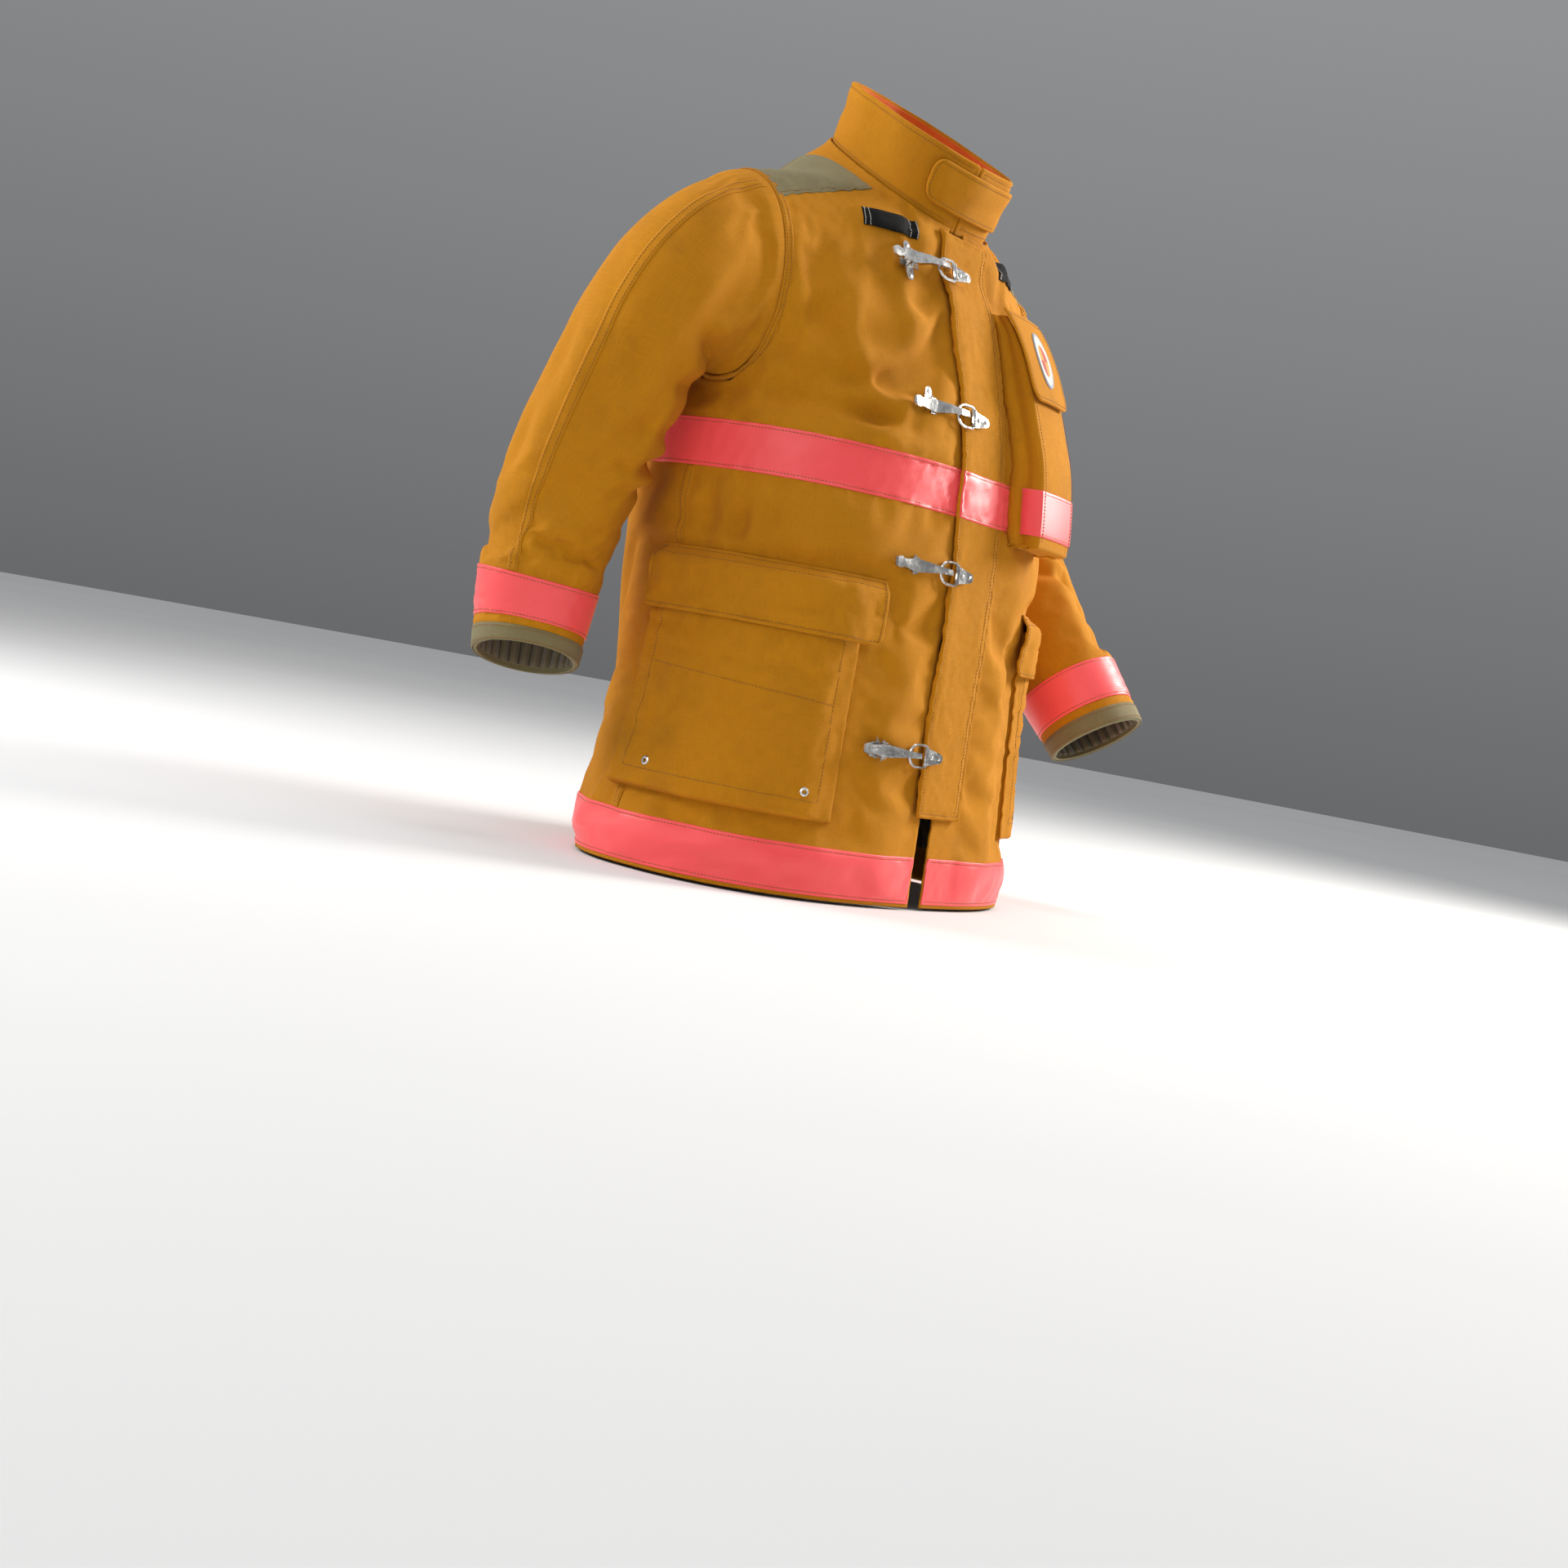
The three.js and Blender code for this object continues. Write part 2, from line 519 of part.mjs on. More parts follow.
function hookLever() {
  const side = [[-31, 10.5], [-29, 9.2], [-10, 9], [-4, 5.4], [4, 5.4], [9, 10], [22, 15.4],
    [36, 16.4], [44, 15.8], [46.5, 12], [48, 10.2], [51, 10.2], [53.5, 12.8], [53, 16.8], [48, 19.8],
    [36, 20.4], [20, 18.8], [4, 14], [-10, 13], [-29, 13.6], [-31, 12.4]];
  const body = extrude(side, 14, -7).transform(new THREE.Matrix4().makeRotationX(Math.PI / 2).elements);
  const outline = [[-31, -4], [-26, -6], [-22, -6], [-20, -4.4], [-12, -5], [-4, -6.8], [4, -6.8],
    [30, -3.6], [54, -2.6]];
  const mirrored = outline.map(([x, y]) => [x, -y]).reverse();
  const taper = extrude([...outline, ...mirrored], 40, -10);
  return body.intersect(taper).subtract(cylinder(PIN.hole, -12, 12, 0, PIN.z));
}

function deePlate() {
  const x = WIRE.barX;
  const shape = new THREE.Shape();
  shape.moveTo(x, -9);
  shape.lineTo(x + 6, -9);
  shape.lineTo(x + 22, -5.5);
  shape.absarc(x + 22, 0, 5.5, -Math.PI / 2, Math.PI / 2, false);
  shape.lineTo(x + 6, 9);
  shape.lineTo(x, 9);
  const loop = cylinder(WIRE.r + 1.3, -9, 9, x, WIRE.z);
  const plate = extrude(shape, 1.3, WIRE.z - WIRE.r - 1.3);
  return plate.add(loop).add(rivet(x + 10, 0, 10.7)).add(rivet(x + 21, 0, 10.7))
    .subtract(cylinder(WIRE.r + 0.3, -12, 12, x, WIRE.z));
}

function deeRing() {
  const { barX, rimX, half, r, z } = WIRE;
  const path = new THREE.CurvePath();
  const bend = barX - 2;
  const p = (x, y) => new THREE.Vector3(x, y, z);
  const arcX = rimX + half;
  const corners = [p(barX, -half + 2), p(barX, half - 2)];
  path.add(new THREE.LineCurve3(corners[0], corners[1]));
  path.add(new THREE.QuadraticBezierCurve3(corners[1], p(barX, half), p(bend, half)));
  path.add(new THREE.LineCurve3(p(bend, half), p(arcX, half)));
  for (const [a, b, c, d] of [[half, arcX, rimX, 1], [0, 0, rimX, -1]]) {
    const k = half * 0.5523;
    if (d > 0) {
      path.add(new THREE.CubicBezierCurve3(p(b, a), p(b - k, a), p(c, k), p(c, 0)));
    } else {
      path.add(new THREE.CubicBezierCurve3(p(c, 0), p(c, -k), p(arcX - k, -half), p(arcX, -half)));
    }
  }
  path.add(new THREE.LineCurve3(p(arcX, -half), p(bend, -half)));
  path.add(new THREE.QuadraticBezierCurve3(p(bend, -half), p(barX, -half), corners[0]));
  const section = new THREE.Shape().absarc(0, 0, r, 0, 2 * Math.PI, false);
  return { path, section };
}

// A closed wire: a round section carried once round a closed path.
function closedWire({ path, section }, steps, sides) {
  const points = path.getSpacedPoints(steps).slice(0, -1);
  const ring = section.getSpacedPoints(sides).slice(0, -1);
  const vertices = [];
  const faces = [];
  points.forEach((point, i) => {
    const ahead = points[(i + 1) % steps];
    const behind = points[(i + steps - 1) % steps];
    const along = new THREE.Vector3().subVectors(ahead, behind).normalize();
    const out = new THREE.Vector3(0, 0, 1);
    const across = new THREE.Vector3().crossVectors(along, out);
    ring.forEach((q, k) => {
      vertices.push(point.clone().addScaledVector(across, q.x).addScaledVector(out, q.y));
      const n = ring.length;
      const [a, b] = [i * n + k, i * n + (k + 1) % n];
      const [c, d] = [((i + 1) % steps) * n + k, ((i + 1) % steps) * n + (k + 1) % n];
      faces.push(a, d, b, a, c, d);
    });
  });
  const geometry = new THREE.BufferGeometry().setFromPoints(vertices);
  geometry.setIndex(faces);
  return toSolid(geometry);
}

const parts = { base: hookBase(), lever: hookLever(), plate: deePlate(), ring: closedWire(deeRing(), 22, 6) };
parts.pin = cylinder(PIN.r, -PIN.half, PIN.half, 0, PIN.z, 8);
HOOKS.forEach(([height, pivotX], i) => {
  const frame = hookFrame(height, pivotX).elements;
  const n = i + 1;
  add(`hook_base_${n}`, parts.base.transform(frame), 'metal');
  add(`hook_pin_${n}`, parts.pin.transform(frame), 'metal');
  add(`hook_lever_${n}`, parts.lever.transform(frame), 'metal');
  add(`dee_plate_${n}`, parts.plate.transform(frame), 'metal');
  add(`dee_ring_${n}`, parts.ring.transform(frame), 'metal');
});

// ---- Hanger loop ----------------------------------------------------------
const loopPath = new THREE.CubicBezierCurve3(
  new THREE.Vector3(-32, 0, -3), new THREE.Vector3(-24, -13, 4),
  new THREE.Vector3(24, -13, 4), new THREE.Vector3(32, 0, -3));
const webbingOutline = [[-0.9, -4], [0.9, -4], [0.9, 4], [-0.9, 4]];
const webbing = new THREE.Shape(webbingOutline.map(([x, y]) => new THREE.Vector2(x, y)));
const loopForm = { extrudePath: loopPath, steps: 8, bevelEnabled: false };
const loopSolid = new THREE.ExtrudeGeometry(webbing, loopForm);
const loopPlace = new THREE.Matrix4().makeTranslation(0, HANGER.y + 8, HANGER.z - 2);
add('hanger_loop', toSolid(loopSolid, loopPlace), 'tape');

// ---- Origin at the hanger loop -------------------------------------------
coat.position.set(0, -HANGER.y, -HANGER.z);
export default coat;
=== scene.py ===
"""Looks of the turnout coat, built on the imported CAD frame.

The cloth is drafted in millimetres in the coat's own frame, where height 0 is
the hem, the front faces -Y and the wearer's right arm is on -X, and is moved
to the row frame, whose origin is the hanger loop, as each mesh is made.
"""
import json
import math
from contextlib import contextmanager

import bmesh
import bpy
import numpy as np
from mathutils import Matrix, Vector
from mathutils.bvhtree import BVHTree


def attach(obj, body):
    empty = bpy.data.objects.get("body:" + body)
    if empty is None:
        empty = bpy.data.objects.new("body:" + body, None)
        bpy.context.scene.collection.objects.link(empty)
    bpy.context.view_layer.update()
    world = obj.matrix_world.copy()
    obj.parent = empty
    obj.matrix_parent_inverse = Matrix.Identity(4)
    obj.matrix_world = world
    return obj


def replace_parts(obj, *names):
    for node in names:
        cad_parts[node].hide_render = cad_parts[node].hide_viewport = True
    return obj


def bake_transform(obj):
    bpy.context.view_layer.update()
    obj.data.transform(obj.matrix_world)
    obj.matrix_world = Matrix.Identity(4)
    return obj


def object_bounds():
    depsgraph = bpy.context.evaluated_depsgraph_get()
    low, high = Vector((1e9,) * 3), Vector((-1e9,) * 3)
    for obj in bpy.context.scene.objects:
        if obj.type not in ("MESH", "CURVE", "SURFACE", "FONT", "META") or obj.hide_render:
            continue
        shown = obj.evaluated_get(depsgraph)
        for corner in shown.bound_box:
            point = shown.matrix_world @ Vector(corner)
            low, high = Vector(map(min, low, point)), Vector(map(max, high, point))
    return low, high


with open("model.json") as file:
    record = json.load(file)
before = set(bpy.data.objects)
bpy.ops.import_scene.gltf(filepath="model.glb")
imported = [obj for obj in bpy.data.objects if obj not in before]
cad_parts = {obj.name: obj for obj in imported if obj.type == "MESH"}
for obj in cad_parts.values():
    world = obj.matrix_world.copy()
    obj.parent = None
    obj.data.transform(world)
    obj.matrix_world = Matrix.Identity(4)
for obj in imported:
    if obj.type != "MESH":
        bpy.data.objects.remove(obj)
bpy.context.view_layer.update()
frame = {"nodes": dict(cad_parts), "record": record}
nodes = frame["nodes"]

# ---- Driving dimensions, in mm ----
ORIGIN = np.array([0.0, 72.0, 850.0])
SIDES = ((-1, "right"), (1, "left"))
DEGREES = 57.3  # in a radian
SHELL, POCKET_CLOTH = 2.4, 1.6
TRIM_WIDTH = 50.8
# Rows of stitches along the trim, and the width and rows of a lapped seam.
TRIM_ROWS = (3.5, TRIM_WIDTH - 3.5)
LAP, LAP_ROWS = 11, (2.5, 8.5)
FRONT_EDGES = (-30.0, -6.0)
FLAP_SPAN = (-47.0, 38.0)
FLAP_BOTTOM = 98.0
FLAP_LIFT, FLAP_THICK = 1.9, 4.5
CHEST_TRIM, HEM_TRIM = 424.0, 4.0
# Body sections: half width, half depth, middle y, height, tilt.
BODY = np.array([
    (288, 189, -11, 0, 0), (274, 194, -2, 80, 0), (255, 195, 5, 200, 0), (251, 196, 11, 340, 0),
    (255, 193.5, 18.5, 450, 0), (236, 183.5, 25.5, 535, 0), (224, 156.5, 33.5, 640, 0),
    (200, 120, 26, 705, 0.12), (156, 107, 13, 752, 0.34), (87, 93, 3, 787, 0.55)], float)
NECK = np.array((87, 93, 3, 787.6, 0.55), float)
RIM = np.array((95, 94, -19, 853.6, 0.51), float)
ARMHOLE_X, ARMHOLE_Y, ARMHOLE_Z = 242.0, 26.0, 632.0
# Upright shoulder rings: x, y, z, half height, half depth; they lean forward by degrees.
SHOULDER = [(104, 20, 668, 108, 100), (ARMHOLE_X, ARMHOLE_Y, ARMHOLE_Z, 108, 70),
            (266, ARMHOLE_Y, ARMHOLE_Z, 108, 70)]
LEAN = -7.0
# Sleeve rings down the arm: turn from upright, x, z, half height, half depth; each side has its own y.
UPPER_ARM = [(22, 285, 616, 97, 72), (44, 311, 588, 87, 75), (64, 323, 558, 80, 76), (80, 329, 532, 77, 77)]
# Below them: x, y, z, half height, half depth and lean.
SLEEVES = {
    "right": dict(side=-1, cuff_turn=77, cuff_lean=11, upper_y=(32, 44, 57, 66), lower=[
        (340, 92, 450, 75, 77, -14), (344, 110, 380, 72, 73, -8), (347, 118, 320, 68, 69, -3),
        (348, 121, 258, 62, 63, -2), (348, 121, 192, 54, 57, -6)]),
    "left": dict(side=1, cuff_turn=86, cuff_lean=36, upper_y=(35, 48, 58, 60), lower=[
        (338, 38, 462, 76, 78, 16), (340, -6, 402, 73, 75, 32), (341, -58, 342, 68, 69, 39),
        (340, -112, 284, 63, 64, 41), (338, -178, 214, 54, 58, 36)]),
}
POCKET = dict(turns=(40.5, 93), bottom=82, top=322, depth=13)
POCKET_FLAP = dict(turns=(35, 95), bottom=270, top=340)
RADIO = dict(x=(60, 146), bottom=410, top=640, turn=9, pivot=(60, -190))
RADIO_FACE = np.array([(-219, 410), (-217, 440), (-207, 500), (-189, 550), (-166, 606), (-141, 648),
                       (-118, 673), (-100, 686)], float)
RADIO_FLAP = dict(x=(56, 150), bottom=572, top=668, thick=2.6)
BADGE = dict(z=620, half_w=17, half_h=29)
STITCH = dict(pitch=3.8, length=2.7, radius=0.42)


def metres(points):
    return (np.asarray(points, float) - ORIGIN) * 0.001


# ---- Materials ----
class Shader:
    """A principled material, with short calls for the nodes that feed it."""

    def __init__(self, name, rough, metal=0.0, **plain):
        self.mat = bpy.data.materials.new(name)
        self.mat.use_nodes = True
        self.tree = self.mat.node_tree
        self.out = self.tree.nodes["Principled BSDF"]
        self.out.inputs["Roughness"].default_value = rough
        self.out.inputs["Metallic"].default_value = metal
        for socket, value in plain.items():
            self.out.inputs[socket.replace("_", " ")].default_value = value

    def node(self, kind, **settings):
        n = self.tree.nodes.new(kind)
        for key, value in settings.items():
            setattr(n, key, value)
        return n

    def link(self, a, b):
        self.tree.links.new(a, b)

    def feed(self, socket, value):
        if isinstance(value, bpy.types.NodeSocket):
            self.link(value, socket)
        else:
            socket.default_value = value

    def maths(self, op, a, b=0.0):
        n = self.node("ShaderNodeMath", operation=op)
        self.feed(n.inputs[0], a)
        self.feed(n.inputs[1], b)
        return n.outputs[0]

    def uv(self):
        n = self.node("ShaderNodeSeparateXYZ")
        self.link(self.node("ShaderNodeUVMap").outputs[0], n.inputs[0])
        return n.outputs[0], n.outputs[1]

    def stretched(self, scale):
        """The uv places, scaled."""
        m = self.node("ShaderNodeMapping")
        m.inputs["Scale"].default_value = (*scale, 1)
        self.link(self.node("ShaderNodeUVMap").outputs[0], m.inputs[0])
        return m.outputs[0]

    def noise(self, scale, detail=3.0, stretch=None, rough=0.5):
        n = self.node("ShaderNodeTexNoise")
        coords = self.stretched(stretch) if stretch else self.node("ShaderNodeTexCoord").outputs["Object"]
        self.link(coords, n.inputs["Vector"])
        for key, value in (("Scale", scale), ("Detail", detail), ("Roughness", rough)):
            n.inputs[key].default_value = value
        return n.outputs["Fac"]

    def span(self, value, low, high, out_low=0.0, out_high=1.0):
        n = self.node("ShaderNodeMapRange")
        self.link(value, n.inputs["Value"])
        for key, v in (("From Min", low), ("From Max", high), ("To Min", out_low), ("To Max", out_high)):
            n.inputs[key].default_value = v
        return n.outputs[0]

    def mix(self, fac, a, b, blend="MIX"):
        n = self.node("ShaderNodeMix", data_type="RGBA", blend_type=blend)
        self.feed(n.inputs[0], fac)
        self.feed(n.inputs[6], a if isinstance(a, bpy.types.NodeSocket) else (*a, 1))
        self.feed(n.inputs[7], b if isinstance(b, bpy.types.NodeSocket) else (*b, 1))
        return n.outputs[2]

    def colour(self, socket):
        self.link(socket, self.out.inputs["Base Color"])

    def bump(self, heights):
        """Bumps stacked one on another, from (height socket, strength, distance in m)."""
        last = None
        for height, strength, distance in heights:
            n = self.node("ShaderNodeBump")
            n.inputs["Strength"].default_value = strength
            n.inputs["Distance"].default_value = distance
            self.link(height, n.inputs["Height"])
            if last:
                self.link(last, n.inputs["Normal"])
            last = n.outputs[0]
        self.link(last, self.out.inputs["Normal"])


def weave(s, pitch):
    """Height of a plain weave whose threads are pitch metres apart."""
    k = 2 * math.pi / pitch
    across, along = (s.maths("SINE", s.maths("MULTIPLY", place, k)) for place in s.uv())
    return s.maths("MULTIPLY", across, along)


def fabric(name, light, dark, pitch=0.0011, rough=0.86, depth=0.5, soil=0.25, sheen=0.25, dye=0.3):
    s = Shader(name, rough, Sheen_Weight=sheen, Sheen_Roughness=0.45, Specular_IOR_Level=0.22)
    height = weave(s, pitch)
    slub = s.maths("ADD", s.noise(1, 2, (60, 1400)), s.noise(1, 2, (1400, 60)))
    threads = s.span(slub, 0.7, 1.3, 0.0, 1.0)
    broad = s.span(s.noise(7, 5), 0.35, 0.65)
    tone = s.mix(s.maths("MULTIPLY", broad, dye), light, dark)
    tone = s.mix(s.maths("MULTIPLY", threads, 0.30), tone, tuple(0.62 * c for c in dark))
    # Raised crossings of the weave are painted lighter: a painted highlight on the thread crowns, set by the
    # weave's height.
    tone = s.mix(s.span(height, -0.2, 1.0, 0.0, 0.16), tone, tuple(min(1, 1.35 * c) for c in light))
    grime = s.span(s.noise(16, 8, rough=0.65), 0.52, 0.78, 0.0, soil)
    s.colour(s.mix(grime, tone, tuple(0.45 * c + 0.01 for c in dark)))
    s.bump([(s.noise(55, 4), 0.28, 0.004), (slub, 0.25, 0.0004), (height, depth, 0.00035)])
    return s.mat


def trim_tape():
    s = Shader("trim_tape", 0.42, Sheen_Weight=0.1, Coat_Weight=0.12, Coat_Roughness=0.45)
    _, v = s.uv()
    ribs = s.maths("SINE", s.maths("MULTIPLY", v, 2 * math.pi / 0.0016))
    cells = s.node("ShaderNodeTexVoronoi", feature="DISTANCE_TO_EDGE")
    s.link(s.stretched((420, 420)), cells.inputs["Vector"])
    tone = s.mix(s.span(s.noise(12, 5), 0.3, 0.7, 0.0, 0.6), (0.90, 0.082, 0.090), (0.78, 0.050, 0.052))
    tone = s.mix(s.span(cells.outputs["Distance"], 0.0, 0.12, 0.22, 0.0), tone, (0.70, 0.02, 0.02))
    scuffs = s.span(s.noise(38, 8, rough=0.7), 0.62, 0.75, 0.0, 0.28)
    s.colour(s.mix(scuffs, tone, (0.62, 0.05, 0.04)))
    # The emission is a painted glow: a constant brightening that stands in for the tape's fluorescence under
    # the studio light.
    s.out.inputs["Emission Color"].default_value = (1.0, 0.10, 0.10, 1)
    s.out.inputs["Emission Strength"].default_value = 0.14
    s.bump([(s.noise(70, 3), 0.15, 0.002), (ribs, 0.2, 0.0002)])
    return s.mat


def liner_cloth():
    s = Shader("liner", 0.92, Sheen_Weight=0.2)
    u, _ = s.uv()
    rib = s.maths("SINE", s.maths("MULTIPLY", u, 2 * math.pi / 0.014))
    # The troughs between the ribs are painted near black: painted shade in the grooves of the ribbed liner.
    tone = s.mix(s.span(rib, -1, -0.55, 1.0, 0.0), (0.19, 0.145, 0.075), (0.05, 0.036, 0.020))
    s.colour(s.mix(s.span(s.noise(30, 5), 0.4, 0.7, 0.0, 0.5), tone, (0.17, 0.125, 0.06)))
    s.bump([(rib, 0.8, 0.004), (weave(s, 0.0012), 0.3, 0.0003)])
    return s.mat


def nickel():
    s = Shader("nickel", 0.2, 1.0)
    dull = s.noise(140, 6, rough=0.65)
    s.colour(s.mix(s.span(dull, 0.45, 0.7, 0.0, 0.8), (0.74, 0.735, 0.72), (0.36, 0.345, 0.32)))
    s.link(s.span(s.noise(60, 7), 0.3, 0.75, 0.17, 0.36), s.out.inputs["Roughness"])
    s.bump([(s.noise(70, 3), 0.55, 0.0022), (s.noise(320, 6), 0.12, 0.0005)])
    return s.mat


def badge_cloth():
    """An embroidered oval: cloth ground, with rings and a quartered shield of plain colours."""
    s = Shader("badge", 0.75, Sheen_Weight=0.3)
    u, v = s.uv()
    r = s.maths("SQRT", s.maths("ADD", s.maths("MULTIPLY", u, u), s.maths("MULTIPLY", v, v)))
    left, top = (s.maths("GREATER_THAN", place, 0.0) for place in (u, v))
    quarter = s.maths("ABSOLUTE", s.maths("SUBTRACT", left, top))
    field = s.mix(quarter, (0.55, 0.03, 0.02), (0.75, 0.33, 0.02))
    tone = s.mix(s.maths("GREATER_THAN", r, 0.58), field, (0.80, 0.76, 0.66))
    s.colour(s.mix(s.maths("GREATER_THAN", r, 0.88), tone, (0.42, 0.45, 0.52)))
    satin = s.maths("SINE", s.maths("MULTIPLY", s.maths("ADD", u, v), 90))
    s.bump([(satin, 0.5, 0.0004)])
    return s.mat


MATS = {
    "shell": fabric("shell_cloth", (0.64, 0.252, 0.003), (0.42, 0.150, 0.002), sheen=0.02),
    "trim": trim_tape(),
    "patch": fabric("reinforcement", (0.26, 0.215, 0.095), (0.19, 0.155, 0.070), pitch=0.0008, rough=0.7,
                    sheen=0.15),
    "lining": fabric("collar_lining", (0.90, 0.145, 0.012), (0.74, 0.09, 0.008), pitch=0.0009, soil=0.12),
    "liner": liner_cloth(),
    "webbing": fabric("webbing", (0.006, 0.006, 0.006), (0.004, 0.004, 0.004), pitch=0.0022, soil=0.05,
                      sheen=0.0),
    "badge": badge_cloth(),
    "metal": nickel(),
    "thread": fabric("thread", (0.34, 0.125, 0.006), (0.20, 0.07, 0.004), pitch=0.0006, rough=0.6, soil=0.1),
    "white_thread": fabric("white_thread", (0.75, 0.74, 0.70), (0.6, 0.58, 0.55), pitch=0.0006, rough=0.6,
                           soil=0.1),
}


# ---- Pieces that turn on a sewn edge ----
# Where each turning body's cloth is still the coat's, and where it is all its own, in mm.
SEWN = {
    "right_flap": ((0, 0, 338), (0, 0, 306)), "left_flap": ((0, 0, 338), (0, 0, 306)),
    "radio_flap": ((0, 0, 667), (0, 0, 606)), "throat_tab": ((39, 0, 0), (12, 0, 0)),
    "right_arm": ((-242, 0, 0), (-262, 0, 0)), "left_arm": ((242, 0, 0), (262, 0, 0)),
}


def turn_with(piece, body):
    """Rides a piece on a body; for a body sewn to the coat it only bakes the piece's transform in, leaving it
    unparented.
    """
    if body not in SEWN:
        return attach(piece, body)
    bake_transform(piece)
    return piece


# ---- Mesh helpers ----
def linked(name, data):
    """An object in the scene that shows some data."""
    obj = bpy.data.objects.new(name, data)
    bpy.context.scene.collection.objects.link(obj)
    return obj


@contextmanager
def edited(mesh):
    """A mesh open for editing, written back at the end."""
    bm = bmesh.new()
    bm.from_mesh(mesh)
    yield bm
    bm.to_mesh(mesh)
    bm.free()


def new_mesh(name, verts, faces, look, uv=None):
    """A smooth-shaded object from points in mm. uv is one pair per vertex, in metres."""
    mesh = bpy.data.meshes.new(name)
    mesh.from_pydata(metres(np.reshape(verts, (-1, 3))).tolist(), [], [list(map(int, f)) for f in faces])
    if uv is not None:
        layer = mesh.uv_layers.new(name="UVMap")
        loops = np.zeros(len(mesh.loops), np.int32)
        mesh.loops.foreach_get("vertex_index", loops)
        layer.data.foreach_set("uv", np.reshape(uv, (-1, 2)).astype(np.float32)[loops].ravel())
    mesh.polygons.foreach_set("use_smooth", [True] * len(mesh.polygons))
    mesh.materials.append(MATS[look])
    obj = linked(name, mesh)
    return obj


def grid_faces(rows, columns, around=False):
    """Quads of a grid of points, counted row by row; around closes each row on itself."""
    i, j = np.meshgrid(np.arange(rows - 1), np.arange(columns if around else columns - 1), indexing="ij")
    k = (j + 1) % columns
    low, high = i * columns, (i + 1) * columns
    return np.stack([low + j, low + k, high + k, high + j], -1).reshape(-1, 4)


def slab_faces(rows, columns, around=False):
    """Faces of a closed slab: a top grid, then a bottom grid of the same size."""
    top = grid_faces(rows, columns, around)
    under = rows * columns
    faces = [top, top[:, ::-1] + under]
    edges = [np.arange(columns), (rows - 1) * columns + np.arange(columns)[::-1]]
    if around:
        edges = [np.append(e, e[0]) for e in edges]
    else:
        edges.append(np.arange(rows)[::-1] * columns)
        edges.append(np.arange(rows) * columns + columns - 1)
    for e in edges:
        faces.append(np.stack([e[1:], e[:-1], e[:-1] + under, e[1:] + under], -1))
    return np.concatenate(faces)


def new_slab(name, top, bottom, uv, look, around=False):
    """A closed slab between two grids of points; uv is the grid's, in mm."""
    faces = slab_faces(*top.shape[:2], around)
    return new_mesh(name, np.stack([top, bottom]), faces, look, np.stack([uv, uv]) * 0.001)


def unit(v):
    return v / np.maximum(np.linalg.norm(v, axis=-1, keepdims=True), 1e-9)


def smoothstep(x):
    x = np.clip(x, 0, 1)
    return x * x * (3 - 2 * x)


def swell(x):
    """0 at both ends of 0 to 1, and 1 in the middle."""
    return np.sin(np.pi * np.clip(x, 0, 1))


def leaning(x, y, z, back, up):
    """Points of a shoulder ring, back and up from its middle (x, y, z) in its leaning plane."""
    lean = math.radians(LEAN)
    return np.stack([x, y + back * math.cos(lean) - up * math.sin(lean),
                     z + up * math.cos(lean) + back * math.sin(lean)], -1)


def between(grids, i, j, a, b, after=None):
    """Each grid's values a of the way from row i to the next and b of the way from column j on."""
    k = j + 1 if after is None else after
    return [g[i, j] * (1 - a) * (1 - b) + g[i, k] * (1 - a) * b
            + g[i + 1, j] * a * (1 - b) + g[i + 1, k] * a * b for g in grids]


def dotted(path, gap=3):
    """Points a few mm apart along straight runs between places."""
    path = np.array(path, float)
    counts = [max(2, int(np.linalg.norm(b - a) / gap)) for a, b in zip(path[:-1], path[1:])]
    return np.concatenate([np.linspace(*ends, n) for *ends, n in zip(path[:-1], path[1:], counts)])


def outward(obj):
    """Turns a closed mesh's faces outward."""
    with edited(obj.data) as bm:
        bmesh.ops.recalc_face_normals(bm, faces=bm.faces)
    return obj


def sewn_on(obj, body, *nodes):
    """A closed piece, turned outward and put on a body by turn_with, that stands for CAD nodes."""
    turn_with(outward(obj), body)
    if nodes:
        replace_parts(obj, *nodes)
    return obj


def stops(length, step=6.0, rim=(0.0, 0.7, 1.8, 3.4, 5.2, 7.5)):
    """Places along a length, closer together by both edges where a rim rolls and is stitched."""
    if length < 3 * rim[-1]:
        return np.linspace(0, length, 9)
    n = max(1, int((length - 2 * rim[-1]) / step))
    inner = np.linspace(rim[-1], length - rim[-1], n + 1)
    return np.concatenate([rim[:-1], inner, length - np.array(rim[-2::-1])])


